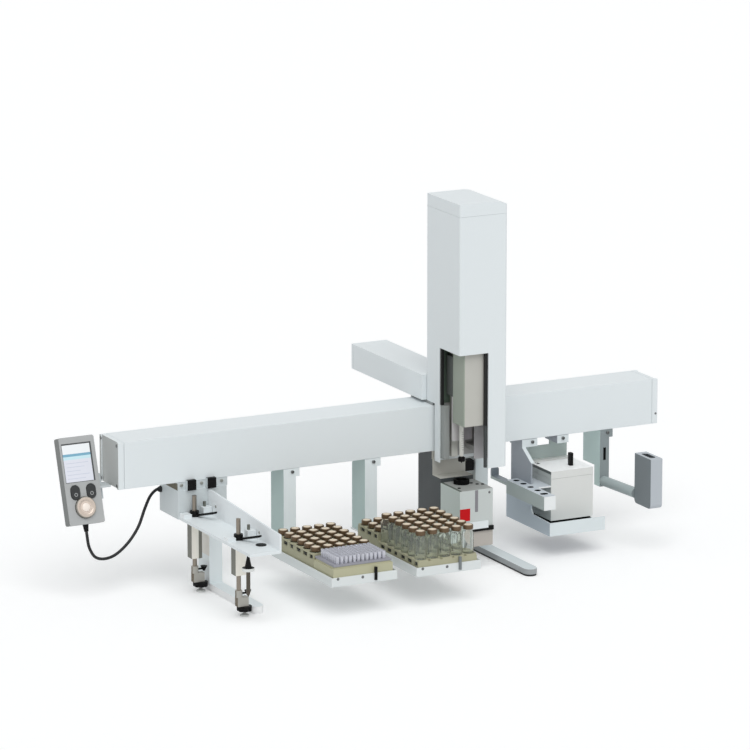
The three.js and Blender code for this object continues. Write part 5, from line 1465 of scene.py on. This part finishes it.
class SAMPLER_OT_terminal(bpy.types.Operator):
    """Dresses the hand terminal: shell, screen, rocker keys, jog wheel and cradle"""

    bl_idname = "sampler.terminal"
    bl_label = "Hand terminal"

    def execute(self, context):
        given = context.scene.sampler_terminal
        shell = moulded("terminal shell", tone(given.shell), 0.42)
        shell_side = moulded("terminal shell side", (118, 121, 120), 0.42)
        dark = moulded("terminal bezel", (72, 74, 75), 0.35)

        def body_finish(centre, normal):
            if face_place(centre).z < -171:
                return 2
            return 1 if normal.x < -0.6 else 0

        dressed_copy("terminal_body", "terminal_body_moulded", [shell, shell_side, black_moulding()],
                     1.6, 3, body_finish)
        dressed_copy("terminal_cradle", "terminal_cradle_painted", [grey_paint()], 0.6)
        self.screen(given, dark)
        rubber = moulded("key rubber", (45, 47, 48), 0.55)
        for side in ("left", "right"):
            dressed_copy("terminal_key_" + side, "terminal_key_" + side + "_moulded", [rubber],
                         0.7, 3)
        for side, x in (("left", 20.5), ("right", 53.8)):
            bm = bmesh.new()
            self.flat_disc(bm, x, -112.5, 3.6, -2.95, -2.2)
            self.flat_disc(bm, x, -112.5, 2.4, -3.05, -2.9, 1)
            make_piece("terminal_key_" + side + "_marks", bm,
                       [moulded("key mark", (170, 172, 172), 0.5), rubber], "key_" + side)
        self.wheel()
        return {"FINISHED"}

    def flat_shape(self, bm, outline, y0, y1, finish):
        """A thin shape that lies in the terminal's face, in millimetres of its own frame."""
        sweep = face_point(0, y1, 0) - face_point(0, y0, 0)
        add_prism(bm, [face_point(x, y0, z) for x, z in outline], sweep, finish)

    def flat_disc(self, bm, x, z, radius, y0, y1, finish=0):
        self.flat_shape(bm, [(x + radius * math.cos(a), z + radius * math.sin(a)) for a in ring_angles(20)],
                        y0, y1, finish)

    def flat_panel(self, bm, x0, x1, z0, z1, y0, y1, finish=0):
        self.flat_shape(bm, ((x0, z0), (x1, z0), (x1, z1), (x0, z1)), y0, y1, finish)

    def screen(self, given, dark):
        """The screen: a dark bezel with plain coloured fields and lines on it."""
        glass = surface("screen", tone(given.screen), 0.2, spread=0.01, size=40, coat=0.4)
        band = surface("screen band", tone(given.band), 0.2, spread=0.02, size=20, coat=0.4)
        head = surface("screen head", (246, 249, 251), 0.2, spread=0.01, size=40, coat=0.4)
        row = surface("screen rows", (208, 213, 227), 0.2, spread=0.01, size=40, coat=0.4)
        cyan = surface("screen strip", (205, 236, 244), 0.2, spread=0.01, size=40, coat=0.4)
        bm = bmesh.new()
        self.flat_panel(bm, 4.0, 66.0, -88.5, -12.5, -0.3, -0.05, 0)
        for low, high, finish in ((-33, -15.3, 2), (-38, -33, 3), (-44, -38, 5), (-87.6, -44, 1)):
            self.flat_panel(bm, 4.6, 62.6, low, high, -0.5, -0.3, finish)
        for step in range(5):
            z = -51.0 - step * 7.5
            self.flat_panel(bm, 9, 56 - 9 * (step % 3), z - 0.6, z + 0.6, -0.55, -0.5, 4)
        make_piece("terminal_screen", bm, [dark, glass, head, band, row, cyan], "frame")

    def wheel(self):
        """A jog wheel with a ribbed rim, an inner ring round a shallow dish, and a bright domed hub."""
        node = "terminal_wheel"
        rim = surface("wheel rim", (150, 146, 138), 0.35, metallic=0.4, spread=0.06, size=4)
        dish = surface("wheel dish", (206, 192, 180), 0.3, metallic=0.3, spread=0.04, size=10)
        hub = surface("wheel hub", (248, 236, 226), 0.3, spread=0.02, size=10)
        ring_finish = surface("wheel ring", (225, 210, 198), 0.3, metallic=0.2, spread=0.03, size=10)
        bm = bmesh.new()
        foot = face_point(37.15, 3, -138.5)
        axis = face_point(0, 0, 0) - face_point(0, 1, 0)
        ribs, sides = 36, 144
        side = Vector((1, 0, 0))
        other = axis.normalized().cross(side)
        rings = []
        # How far along the axis, the radius there, and how deep the ribs are cut.
        profile = ((0, 20.4, 0), (1.0, 21.0, 0.25), (7.6, 21.0, 0.25), (8.6, 20.2, 0.1), (9.0, 19.0, 0),
                   (9.0, 15.2, 0), (7.8, 13.6, 0), (7.6, 11.4, 0), (8.1, 11.0, 0), (8.1, 9.4, 0),
                   (7.6, 9.1, 0), (7.6, 0, 0))
        for along, radius, depth in profile:
            centre = foot + axis.normalized() * along * MM
            if radius == 0:
                rings.append([bm.verts.new(centre)])
                continue
            ring = []
            for a in ring_angles(sides):
                r = radius - depth * (1 - math.cos(ribs * a))
                ring.append(bm.verts.new(centre + (side * math.cos(a) + other * math.sin(a)) * r * MM))
            rings.append(ring)
        for index, (low, high) in enumerate(zip(rings, rings[1:])):
            for k in range(sides):
                n = (k + 1) % sides
                if len(high) == 1:
                    face = bm.faces.new((low[k], low[n], high[0]))
                else:
                    face = bm.faces.new((low[k], low[n], high[n], high[k]))
                face.material_index = 3 if 6 < index < 10 else 1 if index > 3 else 0
        bm.faces.new(rings[0])
        add_turned(bm, foot + axis.normalized() * 7.4 * MM, axis,
                   [(0, 8.6), (0.9, 8.3), (1.8, 7.0), (2.5, 4.6), (2.8, 2.2), (2.9, 0)], 28, 2)
        make_piece("terminal_wheel_turned", bm, [rim, dish, hub, ring_finish], BODY_OF[node],
                   0, 2, (node,))


class SAMPLER_PT_panel(bpy.types.Panel):
    """Lists the steps that dress the autosampler"""

    bl_label = "Autosampler"
    bl_idname = "SAMPLER_PT_panel"
    bl_space_type = "VIEW_3D"
    bl_region_type = "UI"
    bl_category = "Autosampler"

    def draw(self, context):
        for step in STEPS:
            self.layout.operator(step.bl_idname)
        for holder, _ in GROUPS:
            group = getattr(context.scene, holder)
            box = self.layout.box()
            for name in group.__annotations__:
                box.prop(group, name)


STEPS = (SAMPLER_OT_stage, SAMPLER_OT_cord, SAMPLER_OT_rail, SAMPLER_OT_arm, SAMPLER_OT_tower,
         SAMPLER_OT_tool, SAMPLER_OT_posts, SAMPLER_OT_trays, SAMPLER_OT_racks, SAMPLER_OT_left_unit,
         SAMPLER_OT_stands, SAMPLER_OT_station, SAMPLER_OT_oven, SAMPLER_OT_reader, SAMPLER_OT_terminal)
GROUPS = (("sampler_stage", StageSettings), ("sampler_covers", CoverSettings),
          ("sampler_trays", TraySettings), ("sampler_modules", ModuleSettings),
          ("sampler_terminal", TerminalSettings))


def register():
    """Registers the settings, the operators and the panel."""
    for holder, group in GROUPS:
        bpy.utils.register_class(group)
        setattr(bpy.types.Scene, holder, bpy.props.PointerProperty(type=group))
    for step in STEPS:
        bpy.utils.register_class(step)
    bpy.utils.register_class(SAMPLER_PT_panel)


def unregister():
    """Takes back what register() added."""
    bpy.utils.unregister_class(SAMPLER_PT_panel)
    for step in reversed(STEPS):
        bpy.utils.unregister_class(step)
    for holder, group in reversed(GROUPS):
        delattr(bpy.types.Scene, holder)
        bpy.utils.unregister_class(group)


def main():
    register()
    for step in STEPS:
        area, name = step.bl_idname.split(".")
        getattr(getattr(bpy.ops, area), name)()


if __name__ == "__main__":
    main()
